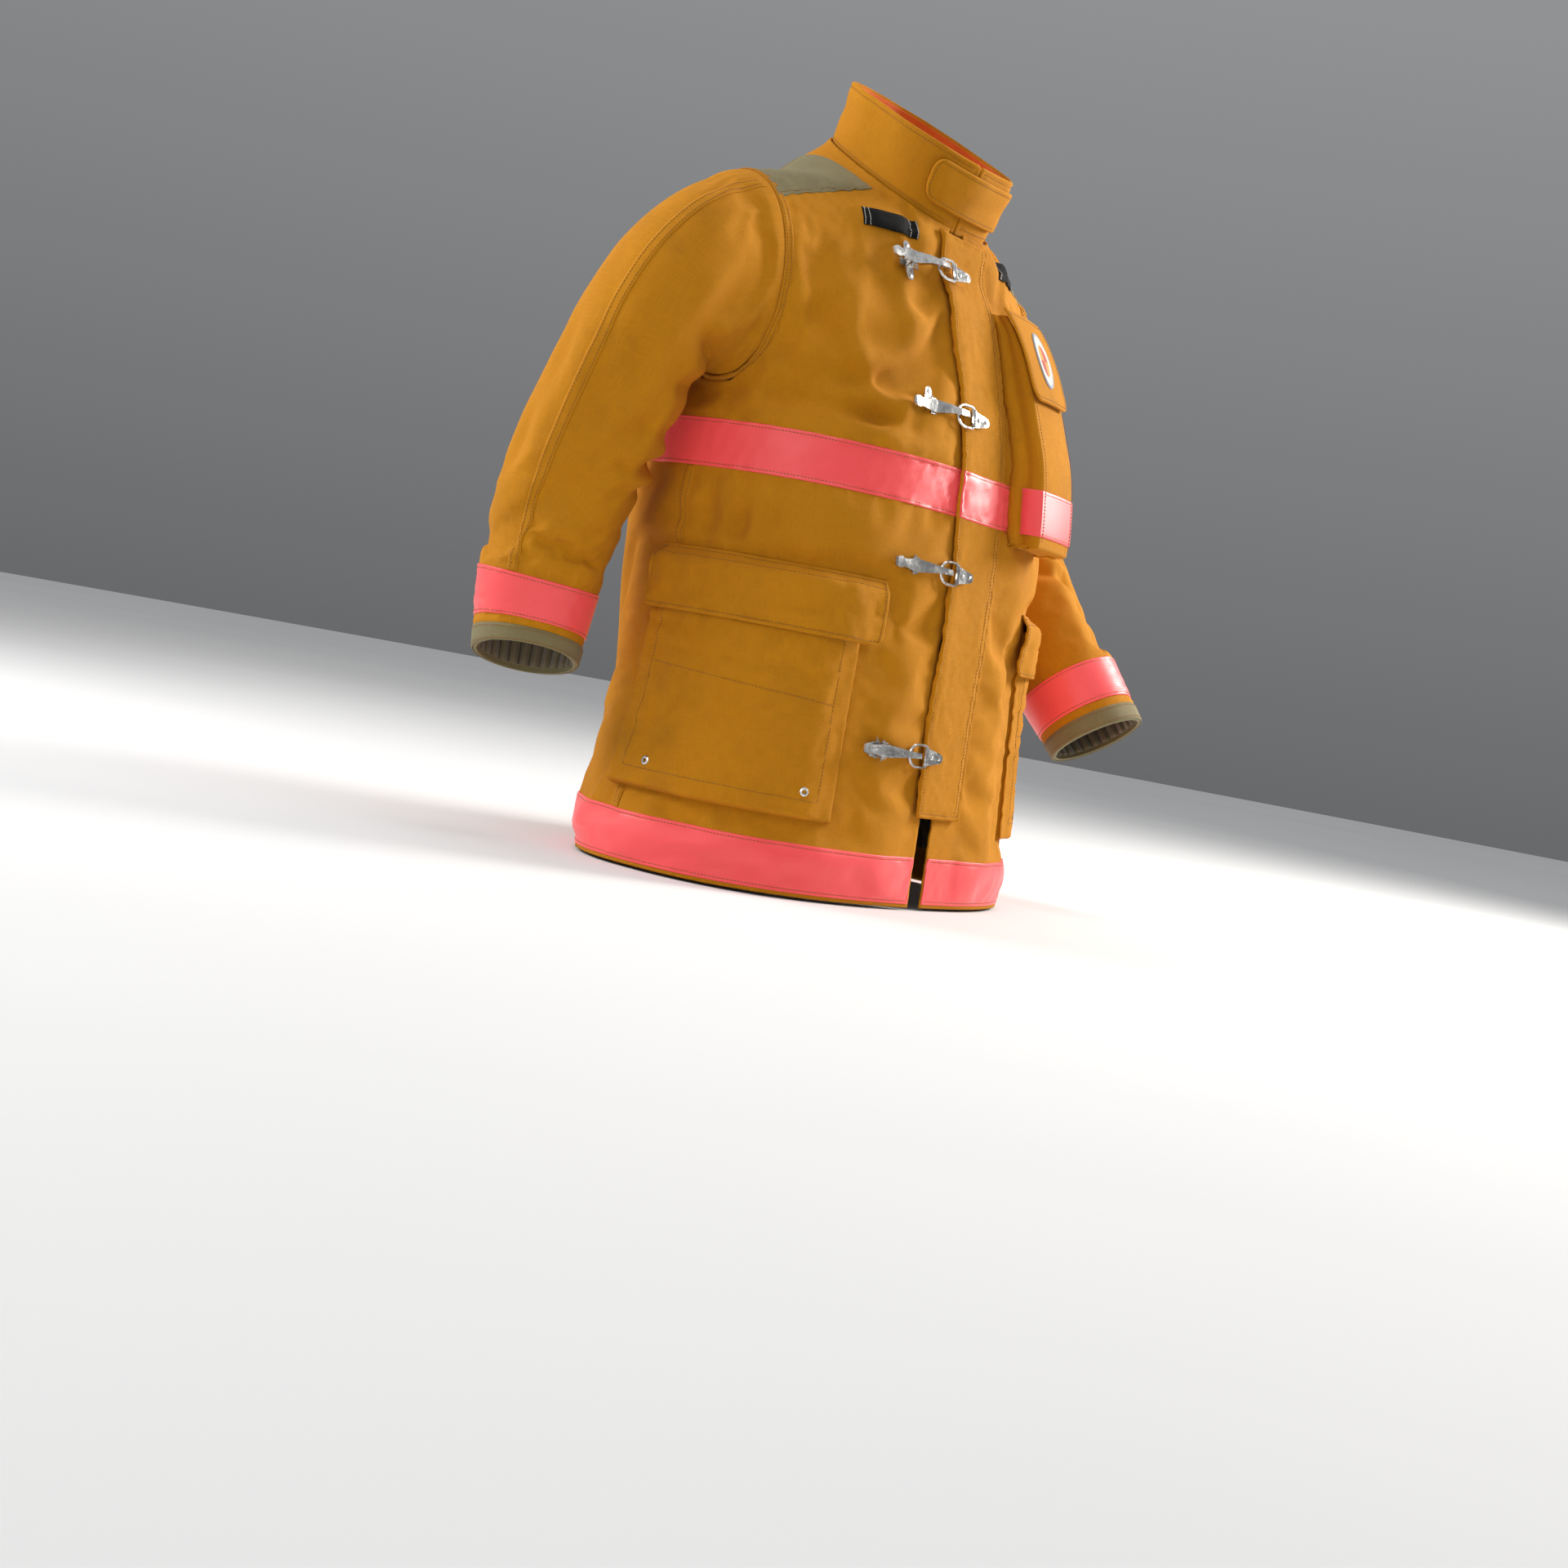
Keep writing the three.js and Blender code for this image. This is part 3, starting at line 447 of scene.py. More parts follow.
class Form:
    """A surface that cloth is laid on: rays find its points and its smoothed normals."""

    def __init__(self, verts, tris):
        self.v, self.f = np.asarray(verts, float), np.asarray(tris, int)
        self.tree = BVHTree.FromPolygons(self.v.tolist(), self.f.tolist())
        n = np.zeros_like(self.v)
        a, b, c = (self.v[self.f[:, i]] for i in range(3))
        cross = np.cross(b - a, c - a)
        for i in range(3):
            np.add.at(n, self.f[:, i], cross)
        n = unit(n)
        for _ in range(3):
            total = n.copy()
            for i in range(3):
                np.add.at(total, self.f[:, i], n[self.f[:, (i + 1) % 3]])
            n = unit(total)
        self.n = n

    def cast(self, start, direction):
        shape = start.shape
        s, d = start.reshape(-1, 3), unit(np.broadcast_to(direction, shape).reshape(-1, 3))
        points, normals = np.zeros_like(s), np.zeros_like(s)
        for i in range(len(s)):
            hit, _, face, _ = self.tree.ray_cast(Vector(s[i]), Vector(d[i]))
            if hit is None:
                hit, _, face, _ = self.tree.find_nearest(Vector(s[i] + d[i] * 400))
            tri = self.f[face]
            a, b, c = self.v[tri]
            p = np.array(hit)
            m = np.stack([b - a, c - a], 1)
            w = np.linalg.pinv(m) @ (p - a)
            points[i] = p
            normals[i] = (1 - w[0] - w[1]) * self.n[tri[0]] + w[0] * self.n[tri[1]] + w[1] * self.n[tri[2]]
        return points.reshape(shape), unit(normals).reshape(shape)

    def nearest(self, near):
        """The surface's closest points and their normals."""
        shape, q = near.shape, near.reshape(-1, 3)
        points, normals = np.zeros_like(q), np.zeros_like(q)
        for i in range(len(q)):
            hit, _, face, _ = self.tree.find_nearest(Vector(q[i]))
            points[i], normals[i] = hit, self.n[self.f[face]].sum(0)
        return points.reshape(shape), unit(normals).reshape(shape)


# ---- Thread ----
THREADS = {}


def stitch(points, normals, body, look="thread", pitch=None):
    """A row of stitches along a line of points, kept to be built with the rest of its body's."""
    step = pitch or STITCH["pitch"]
    along = np.concatenate([[0], np.cumsum(np.linalg.norm(np.diff(points, axis=0), axis=1))])
    count = int(along[-1] // step)
    if count < 1:
        return
    at = (np.arange(count) + 0.5) * step
    before, p, after, n = (
        np.stack([np.interp(at + shift, along, line[:, k]) for k in range(3)], 1)
        for line, shift in ((points, -0.5), (points, 0), (points, 0.5), (normals, 0)))
    THREADS.setdefault((body, look), []).append((p, unit(after - before), unit(n)))


def build_threads():
    sides, half, r = 6, STITCH["length"] / 2, STITCH["radius"]
    turns = np.arange(sides) * 2 * math.pi / sides
    rings = [(-half, 0.2 * r), (-0.6 * half, r), (0.6 * half, r), (half, 0.2 * r)]
    shape = np.array([(x, q * math.cos(t), q * math.sin(t)) for x, q in rings for t in turns])
    faces = grid_faces(len(rings), sides, True)
    made = []
    for (body, look), rows in THREADS.items():
        p, t, n = (np.concatenate([row[k] for row in rows]) for k in range(3))
        side = unit(np.cross(n, t))
        up = np.cross(t, side)
        verts = (p[:, None] + up[:, None] * 0.12 + shape[None, :, :1] * t[:, None]
                 + shape[None, :, 1:2] * side[:, None] + shape[None, :, 2:3] * up[:, None])
        all_faces = (faces[None] + (np.arange(len(p)) * len(shape))[:, None, None]).reshape(-1, 4)
        uv = np.tile(shape[:, :2] * 0.001, (len(p), 1))
        made.append((body, new_mesh(f"stitching_{look}_{body}", verts, all_faces, look, uv)))
    return made


# ---- Layers of cloth ----
class Layer:
    """A layer of cloth laid on a surface. place(u, v) gives the points and normals under
    it, u across to the wearer's left and v up, both in mm from its lower right corner."""

    def __init__(self, place, width, height, thick, lift, corners=(0, 0, 0, 0), dips=(),
                 around=False, step=6.0, puff=0.0):
        us = np.linspace(0, width, int(width / step), endpoint=False) if around else stops(width, step)
        vs = stops(height, step)
        u, v = np.meshgrid(us, vs)
        left = [self.inset(v, corners[0]), self.inset(height - v, corners[3])]
        right = [self.inset(v, corners[1]), self.inset(height - v, corners[2])]
        lo, hi = np.maximum(*left), np.maximum(*right)
        p, n = place(lo + u / width * (width - lo - hi), v)
        d = np.minimum(v, height - v)
        if not around:
            d = np.minimum(d, np.minimum(u, width - u))
        rim = np.clip(d / (0.7 * thick), 0, 1)
        top = thick * (0.3 + 0.7 * np.sqrt(1 - (1 - rim) ** 2))
        for at, depth in dips:
            top = top - depth * np.exp(-((d - at) / 1.3) ** 2)
        top = top + puff * np.clip(d / 30, 0, 1) ** 0.5
        low = lift(u, v) if callable(lift) else np.full(u.shape, float(lift))
        self.us, self.vs, self.around = us, vs, around
        self.width, self.height = width, height
        self.top = p + n * (low + top)[..., None]
        self.bottom = p + n * low[..., None]
        self.normal = n
        self.uv = np.stack([u, v], -1)

    @staticmethod
    def inset(v, r):
        """How far a corner of radius r is cut in at a height v above it."""
        return np.where(v < r, r - np.sqrt(np.maximum(r * r - (r - v) ** 2, 0)), 0.0)

    def build(self, name, look):
        return new_slab(name, self.top, self.bottom, self.uv, look, self.around)

    def at(self, u, v):
        """Points and normals on the layer's face at places given in mm."""
        us, top, normal = self.us, self.top, self.normal
        if self.around:
            us = np.append(us, self.width)
            top = np.concatenate([top, top[:, :1]], 1)
            normal = np.concatenate([normal, normal[:, :1]], 1)
        fu = np.interp(u, us, np.arange(len(us)))
        fv = np.interp(v, self.vs, np.arange(len(self.vs)))
        i, j = np.minimum(fv.astype(int), len(self.vs) - 2), np.minimum(fu.astype(int), len(us) - 2)
        return between((top, normal), i, j, (fv - i)[:, None], (fu - j)[:, None])

    def sew(self, path, body):
        """Stitches along straight runs between places on the layer."""
        stitch(*self.at(*dotted(path).T), body)

    def hem(self, inset, below_top, body):
        """Stitches down one side, along the bottom and up the other side."""
        far, high = self.width - inset, self.height - below_top
        self.sew([(inset, high), (inset, inset), (far, inset), (far, high)], body)


# ---- The body's form ----
def section(turn, s):
    """Points at turns (radians, 0 in front) of a body section: half width, half depth, y, z, tilt."""
    sn, cs = np.sin(turn), np.cos(turn)
    power = np.where(cs > 0, 2 / 2.5, 2 / 2.2)
    dy = -s[..., 1] * np.sign(cs) * np.abs(cs) ** power
    x = s[..., 0] * np.sign(sn) * np.abs(sn) ** power
    return np.stack([x, s[..., 2] + dy, s[..., 3] + s[..., 4] * dy], -1)


def flowing(stations, steps):
    """Stations with more between them, on a smooth curve through them all."""
    k = np.asarray(stations, float)
    out = []
    for i in range(len(k) - 1):
        a, b, c, d = k[max(i - 1, 0)], k[i], k[i + 1], k[min(i + 2, len(k) - 1)]
        for t in np.arange(steps) / steps:
            out.append(0.5 * (2 * b + (c - a) * t + (2 * a - 5 * b + 4 * c - d) * t * t
                              + (3 * b - a - 3 * c + d) * t ** 3))
    return np.array(out + [k[-1]])


def capped(rings):
    """Closed loft through rings of points."""
    n, m = rings.shape[:2]
    verts = np.concatenate([rings.reshape(-1, 3), rings[0].mean(0)[None], rings[-1].mean(0)[None]])
    faces = [list(f) for f in grid_faces(n, m, True)]
    for i in range(m):
        j = (i + 1) % m
        faces.append([n * m, j, i])
        faces.append([n * m + 1, (n - 1) * m + i, (n - 1) * m + j])
    return verts, faces


def body_form():
    """The body with short stubs at the armholes, as one smooth closed mesh in mm."""
    turns = np.linspace(0, 2 * math.pi, 96, endpoint=False)
    low, top = BODY[0].copy(), NECK.copy()
    low[3] -= 40
    top[2:4] += (-8, 34)
    stations = np.concatenate([[low], flowing(BODY, 5), [top]])
    parts = [capped(np.array([section(turns, s) for s in stations]))]
    for side, _ in SIDES:
        a = -side * turns
        parts.append(capped(np.array([
            leaning(np.full(len(a), float(side * x)), y, z, deep * np.sin(a), high * np.cos(a))
            for x, y, z, high, deep in SHOULDER])))
    mesh = bpy.data.meshes.new("form")
    verts = np.concatenate([v for v, _ in parts])
    faces, base = [], 0
    for v, f in parts:
        faces += [[int(i) + base for i in face] for face in f]
        base += len(v)
    mesh.from_pydata(metres(verts).tolist(), [], faces)
    obj = outward(linked("form", mesh))
    remesh = obj.modifiers.new("remesh", "REMESH")
    remesh.mode, remesh.voxel_size = "VOXEL", 0.008
    smooth = obj.modifiers.new("smooth", "SMOOTH")
    smooth.factor, smooth.iterations = 0.5, 14
    rough = BVHTree.FromPolygons(metres(verts).tolist(), faces)
    bake(obj)
    p, n = points_of(obj), normals_of(obj)
    gain = np.zeros(len(p))
    for i in range(len(p)):
        hit, _, _, far = rough.ray_cast(Vector(metres(p[i])), Vector(n[i]), 0.012)
        gain[i] = 1000 * far if hit else 0.0
    ends = np.array([e.vertices[:] for e in obj.data.edges])
    count = np.ones(len(p)) + np.bincount(ends.ravel(), minlength=len(p))
    for _ in range(4):
        gain = (gain + np.bincount(ends[:, 0], gain[ends[:, 1]], len(p))
                + np.bincount(ends[:, 1], gain[ends[:, 0]], len(p))) / count
    set_points(obj, p + n * gain[:, None])
    return obj


def bake(obj):
    """The object with its modifiers made real."""
    dg = bpy.context.evaluated_depsgraph_get()
    mesh = bpy.data.meshes.new_from_object(obj.evaluated_get(dg))
    obj.modifiers.clear()
    obj.data = mesh
    return obj


def points_of(obj):
    co = np.zeros(len(obj.data.vertices) * 3, np.float32)
    obj.data.vertices.foreach_get("co", co)
    return co.reshape(-1, 3).astype(float) * 1000 + ORIGIN


def set_points(obj, points):
    obj.data.vertices.foreach_set("co", metres(points).astype(np.float32).ravel())
    obj.data.update()


def normals_of(obj):
    n = np.zeros(len(obj.data.vertices) * 3, np.float32)
    obj.data.vertices.foreach_get("normal", n)
    return n.reshape(-1, 3).astype(float)


def settle(obj, hold, slack, frames=20, cap=11.0, pressure=3.0):
    """Lets the cloth, cut a little large, buckle into folds between the places that hold it."""
    group = obj.vertex_groups.new(name="hold")
    for level in np.unique(np.round(hold, 2)):
        if level > 0:
            group.add(np.nonzero(np.round(hold, 2) == level)[0].tolist(), float(level), "REPLACE")
    cloth = obj.modifiers.new("cloth", "CLOTH")
    c = cloth.settings
    c.quality, c.mass, c.air_damping = 6, 0.35, 4.0
    c.tension_stiffness = c.compression_stiffness = 22
    c.shear_stiffness, c.bending_stiffness = 12, 7
    c.tension_damping = c.compression_damping = 12
    c.vertex_group_mass = "hold"
    c.pin_stiffness = 2.0
    c.shrink_min = -slack
    c.use_pressure, c.uniform_pressure_force = True, pressure
    c.effector_weights.gravity = 0.25
    cloth.collision_settings.use_collision = False
    cloth.point_cache.frame_start, cloth.point_cache.frame_end = 1, frames
    rest = points_of(obj)
    scene = bpy.context.scene
    for f in range(1, frames + 1):
        scene.frame_set(f)
    bake(obj)
    moved = points_of(obj) - rest
    size = np.linalg.norm(moved, axis=1, keepdims=True)
    limit = cap * np.tanh(size / cap) / np.maximum(size, 1e-6)
    set_points(obj, rest + moved * limit)
    scene.frame_set(1)
    obj.vertex_groups.clear()


# Creases pressed into the cloth: from, to, half width and depth (below 0 stands proud), in mm.
BODY_CREASES = [
    ((-230, -45, 514), (-110, -170, 500), 12, 8), ((-226, -60, 530), (-130, -150, 552), 12, 7),
    ((-226, -60, 500), (-150, -145, 482), 9, -4), ((-232, -45, 560), (-175, -100, 640), 13, 5),
    ((230, -45, 512), (140, -155, 500), 13, 6), ((226, -60, 528), (140, -140, 556), 12, 5),
    ((-241, -55, 421), (-246, -48, 346), 7, 6), ((-228, -86, 421), (-232, -78, 346), 7, 6),
    ((-210, -115, 421), (-212, -108, 350), 8, 5), ((-252, -15, 421), (-256, -12, 346), 8, 6),
    ((-235, -72, 418), (-238, -66, 346), 6, -4), ((-219, -102, 418), (-222, -95, 346), 6, -4),
    ((241, -55, 421), (246, -48, 346), 8, 5), ((222, -95, 421), (226, -86, 346), 8, 5),
    ((-60, -180, 600), (-160, -125, 540), 18, 9), ((-50, -175, 632), (-170, -100, 612), 20, -8),
    ((-56, -150, 700), (-150, -70, 690), 18, 4), ((-60, -188, 430), (-150, -165, 350), 22, 5),
    ((60, -190, 330), (150, -165, 250), 24, 5), ((-52, -190, 520), (-110, -175, 490), 16, 4),
    ((-150, 200, 480), (120, 208, 440), 22, 6), ((-120, 205, 400), (150, 205, 360), 22, 5),
    ((-200, 140, 560), (-80, 195, 500), 16, 6), ((200, 140, 560), (80, 195, 500), 16, 6),
    ((-70, 190, 300), (-90, 190, 60), 26, 6), ((80, 190, 300), (110, 185, 60), 26, 6),
    ((0, 200, 280), (0, 188, 40), 28, -5), ((-170, 150, 200), (-190, 150, 20), 22, -5),
]


def crease(points, normals, creases, gain):
    """Moves points in along their normals near each crease, which fades at both ends."""
    push = np.zeros(len(points))
    for start, end, wide, deep in creases:
        a, b = np.array(start, float), np.array(end, float)
        t = np.clip(((points - a) @ (b - a)) / ((b - a) @ (b - a)), 0, 1)
        d = np.linalg.norm(points - (a + t[:, None] * (b - a)), axis=1)
        fade = np.sin(np.pi * np.clip(t, 0.02, 0.98)) ** 0.5
        push += deep * fade * (np.exp(-(d / wide) ** 2) - 0.35 * np.exp(-((d - 2.0 * wide) / wide) ** 2))
    return points - normals * gain * push[:, None]


def body_hold(p):
    """How firmly each point of the body is held: by seams, hem, armholes, pockets and front edge."""
    x, y, z = p.T
    turn = np.degrees(np.arctan2(np.abs(x), -(y - 15)))
    hold = np.zeros(len(p))
    hold[(np.abs(x) < 46) & (y < 0)] = 0.8
    hold[(turn > 33) & (turn < 112) & (z > 70) & (z < 345)] = 0.35
    hold[(z > CHEST_TRIM) & (z < CHEST_TRIM + TRIM_WIDTH)] = 0.65
    hold[(np.abs(x) > 108) & (z > 690)] = 0.6
    hold[(z < HEM_TRIM + 10) | (z > 765) | ((np.abs(x) > 234) & (z > 515))] = 1.0
    return hold


form = body_form()
settle(form, body_hold(points_of(form)), slack=0.04)
set_points(form, crease(points_of(form), normals_of(form), BODY_CREASES, gain=1.3))
whole = form.data.copy()
with edited(whole) as bm:
    bmesh.ops.triangulate(bm, faces=bm.faces)
    FORM = Form(points_of(form), [[v.index for v in f.verts] for f in bm.faces])


def on_body(turn, z):
    """Points and normals of the body at bearings in degrees, 0 in front, + to the wearer's left."""
    a = np.radians(turn) + 0 * z
    out = np.stack([np.sin(a), -np.cos(a), np.zeros_like(a)], -1)
    centre = np.stack([np.zeros_like(a), np.full(a.shape, 20.0), z + 0 * a], -1)
    return FORM.cast(centre + 520 * out, -out)


def from_front(x, z):
    return FORM.cast(np.stack([x, np.full(x.shape, -600.0), z], -1), np.array([0.0, 1, 0]))


def from_above(x, y):
    return FORM.cast(np.stack([x, y, np.full(x.shape, 1100.0)], -1), np.array([0.0, 0, -1]))


def neck_plane(y, margin):
    return NECK[3] + NECK[4] * (y - NECK[2]) - margin


# ---- Outer shell of the body ----
def split(bm, point, normal, among=lambda middle: True):
    """Cuts edges along a plane (metres), in the faces whose middles are among those wanted."""
    faces = [f for f in bm.faces if among(f.calc_center_median())]
    geom = faces + list({e for f in faces for e in f.edges}) + list({v for f in faces for v in f.verts})
    bmesh.ops.bisect_plane(bm, geom=geom, dist=1e-6, plane_co=point, plane_no=normal)


def drop(bm, unwanted):
    """Deletes the faces whose middles are unwanted."""
    faces = [f for f in bm.faces if unwanted(f.calc_center_median())]
    bmesh.ops.delete(bm, geom=faces, context="FACES")


def cut(bm, point, normal, among=lambda middle: True):
    """Cuts faces with a plane through a point in mm and drops what is on the normal's side."""
    co, no = Vector(metres(point)), Vector(normal).normalized()
    split(bm, co, no, among)
    drop(bm, lambda middle: (middle - co).dot(no) > 0 and among(middle))


def body_cloth(name, offset, hem, neck_margin, front, look):
    """The body's cloth moved out by an offset, opened at the hem, neck, armholes and front."""
    mesh = form.data.copy()
    tilt = Vector((0, -NECK[4], 1)).normalized()
    # In metres: the armhole's lower end, and how far forward the front opening is cut.
    high, in_front = (515 - ORIGIN[2]) * 0.001, -0.08
    with edited(mesh) as bm:
        bm.normal_update()
        for v in bm.verts:
            v.co += v.normal * offset * 0.001
        cut(bm, (0, 0, hem), (0, 0, -1))
        cut(bm, (0, NECK[2], NECK[3] - neck_margin), tilt)
        for side, _ in SIDES:
            cut(bm, (side * ARMHOLE_X, 0, 0), (side, 0, 0), lambda middle: middle.z > high)
        for x in front:
            split(bm, (x * 0.001, 0, 0), (1, 0, 0), lambda middle: middle.y < in_front)
        drop(bm, lambda middle: middle.y < in_front and front[0] < middle.x * 1000 < front[1])
        layer = bm.loops.layers.uv.new("UVMap")
        for f in bm.faces:
            turns = [math.atan2(v.co.x, -(v.co.y + 0.057)) for v in f.verts]
            if max(turns) - min(turns) > math.pi:
                turns = [t + 2 * math.pi if t < 0 else t for t in turns]
            for loop, t in zip(f.loops, turns):
                loop[layer].uv = (0.26 * t, loop.vert.co.z)
            f.smooth = True
    mesh.materials.clear()
    mesh.materials.append(MATS[look])
    obj = linked(name, mesh)
    return obj


def thicken(obj, thick, level=1):
    """Smooths the cloth and gives it a thickness inwards."""
    if level:
        fine = obj.modifiers.new("fine", "SUBSURF")
        fine.levels = fine.render_levels = level
        fine.boundary_smooth = "PRESERVE_CORNERS"
    wall = obj.modifiers.new("wall", "SOLIDIFY")
    wall.thickness, wall.offset = thick * 0.001, -1
    return obj


coat = thicken(body_cloth("coat_body_shell", 0, 0, 0, FRONT_EDGES, "shell"), SHELL)
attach(coat, "coat")
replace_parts(coat, "back_panel", "right_front_panel", "left_front_panel")
liner = thicken(body_cloth("coat_body_liner", -SHELL - 1.5, 42, 2, (-70, 30), "liner"), 3, 0)
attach(liner, "coat")
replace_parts(liner, "liner_body")

# ---- Sleeves ----
# Columns of points round a sleeve, and the nominal girth they stand for in mm.
AROUND, GIRTH = 100, 380.0
CREASES = {
    "right": [((-268, 55, 420), (-360, 20, 402), 8, 9), ((-272, 62, 398), (-350, 38, 380), 8, 8),
              ((-268, 60, 408), (-330, 30, 392), 6, -6), ((-270, 62, 438), (-320, 20, 428), 8, -6),
              ((-272, 30, 505), (-330, -15, 490), 10, 7), ((-262, 10, 540), (-330, -35, 545), 11, 7),
              ((-285, 40, 456), (-350, 10, 446), 9, 7), ((-400, 20, 520), (-405, 40, 420), 14, 6),
              ((-420, 110, 460), (-415, 130, 380), 13, 6), ((-290, 70, 352), (-360, 50, 336), 8, 7),
              ((-290, -40, 610), (-345, -35, 520), 12, 6), ((-320, -40, 600), (-372, -20, 500), 10, -4),
              ((-360, 10, 560), (-380, 10, 470), 12, 6), ((-410, 80, 560), (-415, 90, 480), 13, 5),
              ((-300, 75, 300), (-370, 60, 292), 8, 5)],
    "left": [((275, -20, 470), (340, -45, 455), 8, 8), ((280, -50, 440), (350, -72, 425), 8, 9),
             ((285, -70, 405), (350, -97, 395), 8, 8), ((280, -40, 455), (330, -60, 440), 6, -6),
             ((270, 20, 520), (335, -20, 510), 10, 7), ((400, -40, 430), (390, -90, 400), 11, 6),
             ((330, 120, 480), (345, 95, 430), 13, 7), ((300, -130, 330), (360, -142, 320), 9, 6),
             ((410, 10, 500), (405, 30, 440), 13, 6), ((300, -100, 365), (365, -118, 352), 8, 7)],
}


class Sleeve:
    """A sleeve's form as a grid of points: rows down the arm, columns round it."""

    def __init__(self, name):
        spec = SLEEVES[name]
        self.name, self.side = name, spec["side"]
        rows = [(0, *SHOULDER[1], LEAN)]
        rows += [(t, x, y, z, h, d, LEAN * (1 - (i + 1) / 4)) for i, ((t, x, z, h, d), y)
                 in enumerate(zip(UPPER_ARM, spec["upper_y"]))]
        rows += [(86, *r) for r in spec["lower"]]
        rows[-1] = (spec["cuff_turn"], *rows[-1][1:6], spec["cuff_lean"])
        k = flowing(rows, 24)
        run = np.concatenate([[0], np.cumsum(np.linalg.norm(np.diff(k[:, 1:4], axis=0), axis=1))])
        self.length = run[-1]
        self.s = np.linspace(0, self.length, int(self.length / 5))
        k = np.stack([np.interp(self.s, run, k[:, c]) for c in range(7)], 1)
        turn, lean = np.radians(k[:, 0]), -np.radians(k[:, 6])
        out = np.stack([self.side * np.sin(turn), -np.cos(turn) * np.sin(lean),
                        np.cos(turn) * np.cos(lean)], -1)
        back = np.stack([np.zeros(len(k)), np.cos(lean), np.sin(lean)], -1)
        self.centre = np.stack([self.side * k[:, 1], k[:, 2], k[:, 3]], -1)
        a = -self.side * np.arange(AROUND) * 2 * math.pi / AROUND
        self.p = (self.centre[:, None] + out[:, None] * k[:, 4, None, None] * np.cos(a)[None, :, None]
                  + back[:, None] * k[:, 5, None, None] * np.sin(a)[None, :, None])
        edge, _ = FORM.nearest(self.p[0])
        edge[:, 0] = self.side * ARMHOLE_X
        ease = np.exp(-(self.s / 45) ** 2)[:, None, None]
        self.p = self.p + ease * (edge - self.p[0])[None]
        self.relax()
        n = self.normals()
        flat = crease(self.p.reshape(-1, 3), n.reshape(-1, 3), CREASES[name], gain=1.15).reshape(self.p.shape)
        keep = np.clip(self.s / 30, 0, 1)[:, None, None]
        self.p = self.p + (flat - self.p) * keep
        n = self.normals()
        for _ in range(4):
            n = unit(n + np.roll(n, 1, 1) + np.roll(n, -1, 1)
                     + np.concatenate([n[1:], n[-1:]]) + np.concatenate([n[:1], n[:-1]]))
        self.n = n

    def normals(self):
        along = np.gradient(self.p, axis=0)
        round_ = np.roll(self.p, -1, 1) - np.roll(self.p, 1, 1)
        n = unit(np.cross(round_, along))
        flip = np.sign(np.sum(n * (self.p - self.centre[:, None]), axis=(1, 2)))
        return n * flip[:, None, None]

    def relax(self):
        faces = grid_faces(len(self.s), AROUND, True)[:, ::-self.side]
        obj = new_mesh("sleeve_form", self.p, faces, "shell")
        up = self.length - self.s
        hold = np.where(self.s < 12, 1.0, np.where(up < 95, np.where(up < 25, 1.0, 0.5), 0.0))
        settle(obj, np.repeat(hold, AROUND), slack=0.055, cap=10.0, pressure=2.5)
        loose = points_of(obj).reshape(self.p.shape)
        # Towards the body the sleeve has no room to puff out.
        facing = np.clip((self.centre[:, None, 0] - self.p[..., 0]) * self.side / 25, 0, 1)[..., None]
        self.p = loose + (self.p - loose) * facing * 0.9
        bpy.data.objects.remove(obj)

    def place(self, u, v):
        """Points and normals at u mm round (of a nominal girth) and v mm up from the cuff."""
        fu = (u / GIRTH * AROUND) % AROUND
        fv = np.clip(np.interp(self.length - v, self.s, np.arange(len(self.s))), 0, len(self.s) - 1.001)
        i, j = fv.astype(int), fu.astype(int) % AROUND
        a, b = (fv - i)[..., None], (fu - fu.astype(int))[..., None]
        return between((self.p, self.n), i, j, a, b, after=(j + 1) % AROUND)

    def cloth(self, name, offset, stop, look):
        """The sleeve's cloth moved out by an offset, ending a distance above the cuff."""
        keep = self.s <= self.length - stop + 1e-6
        # By the armhole, where the inner side bunches up, it shrinks towards the arm's middle instead.
        near = np.clip((190 - self.s) / 80, 0, 1)[:, None, None]
        inward = unit(self.centre[:, None] - self.p) * -1.9 * offset
        p = (self.p + self.n * offset * (1 - near) + inward * near)[keep]
        p = np.concatenate([p, p[:, :1]], 1)
        rows, columns = p.shape[:2]
        uv = np.stack(np.meshgrid(np.linspace(0, GIRTH, columns), self.s[keep]), -1) * 0.001
        faces = grid_faces(rows, columns)
        if self.side > 0:
            faces = faces[:, ::-1]
        obj = new_mesh(name, p, faces, look, uv)
        with edited(obj.data) as bm:
            bmesh.ops.remove_doubles(bm, verts=bm.verts, dist=1e-6)
            bmesh.ops.recalc_face_normals(bm, faces=bm.faces)
            centre = Vector(metres(self.centre[5]))
            near = min(bm.faces, key=lambda f: (f.calc_center_median() - centre).length)
            if near.normal.dot(near.calc_center_median() - centre) < 0:
                bmesh.ops.reverse_faces(bm, faces=bm.faces)
        return obj


def ring_layer(sleeve, v0, height, thick, lift, look, name, rows=(3.5,)):
    """A band sewn round a sleeve, from v0 mm above the cuff."""
    band = Layer(lambda u, v: sleeve.place(u * sleeve.side, v + v0), GIRTH, height, thick, lift, around=True,
                 step=5, dips=[(row, 0.3) for row in rows])
    for row in rows:
        for v in (row, height - row):
            band.sew([(0, v), (GIRTH - 0.1, v)], f"{sleeve.name}_arm")
    return outward(band.build(name, look))


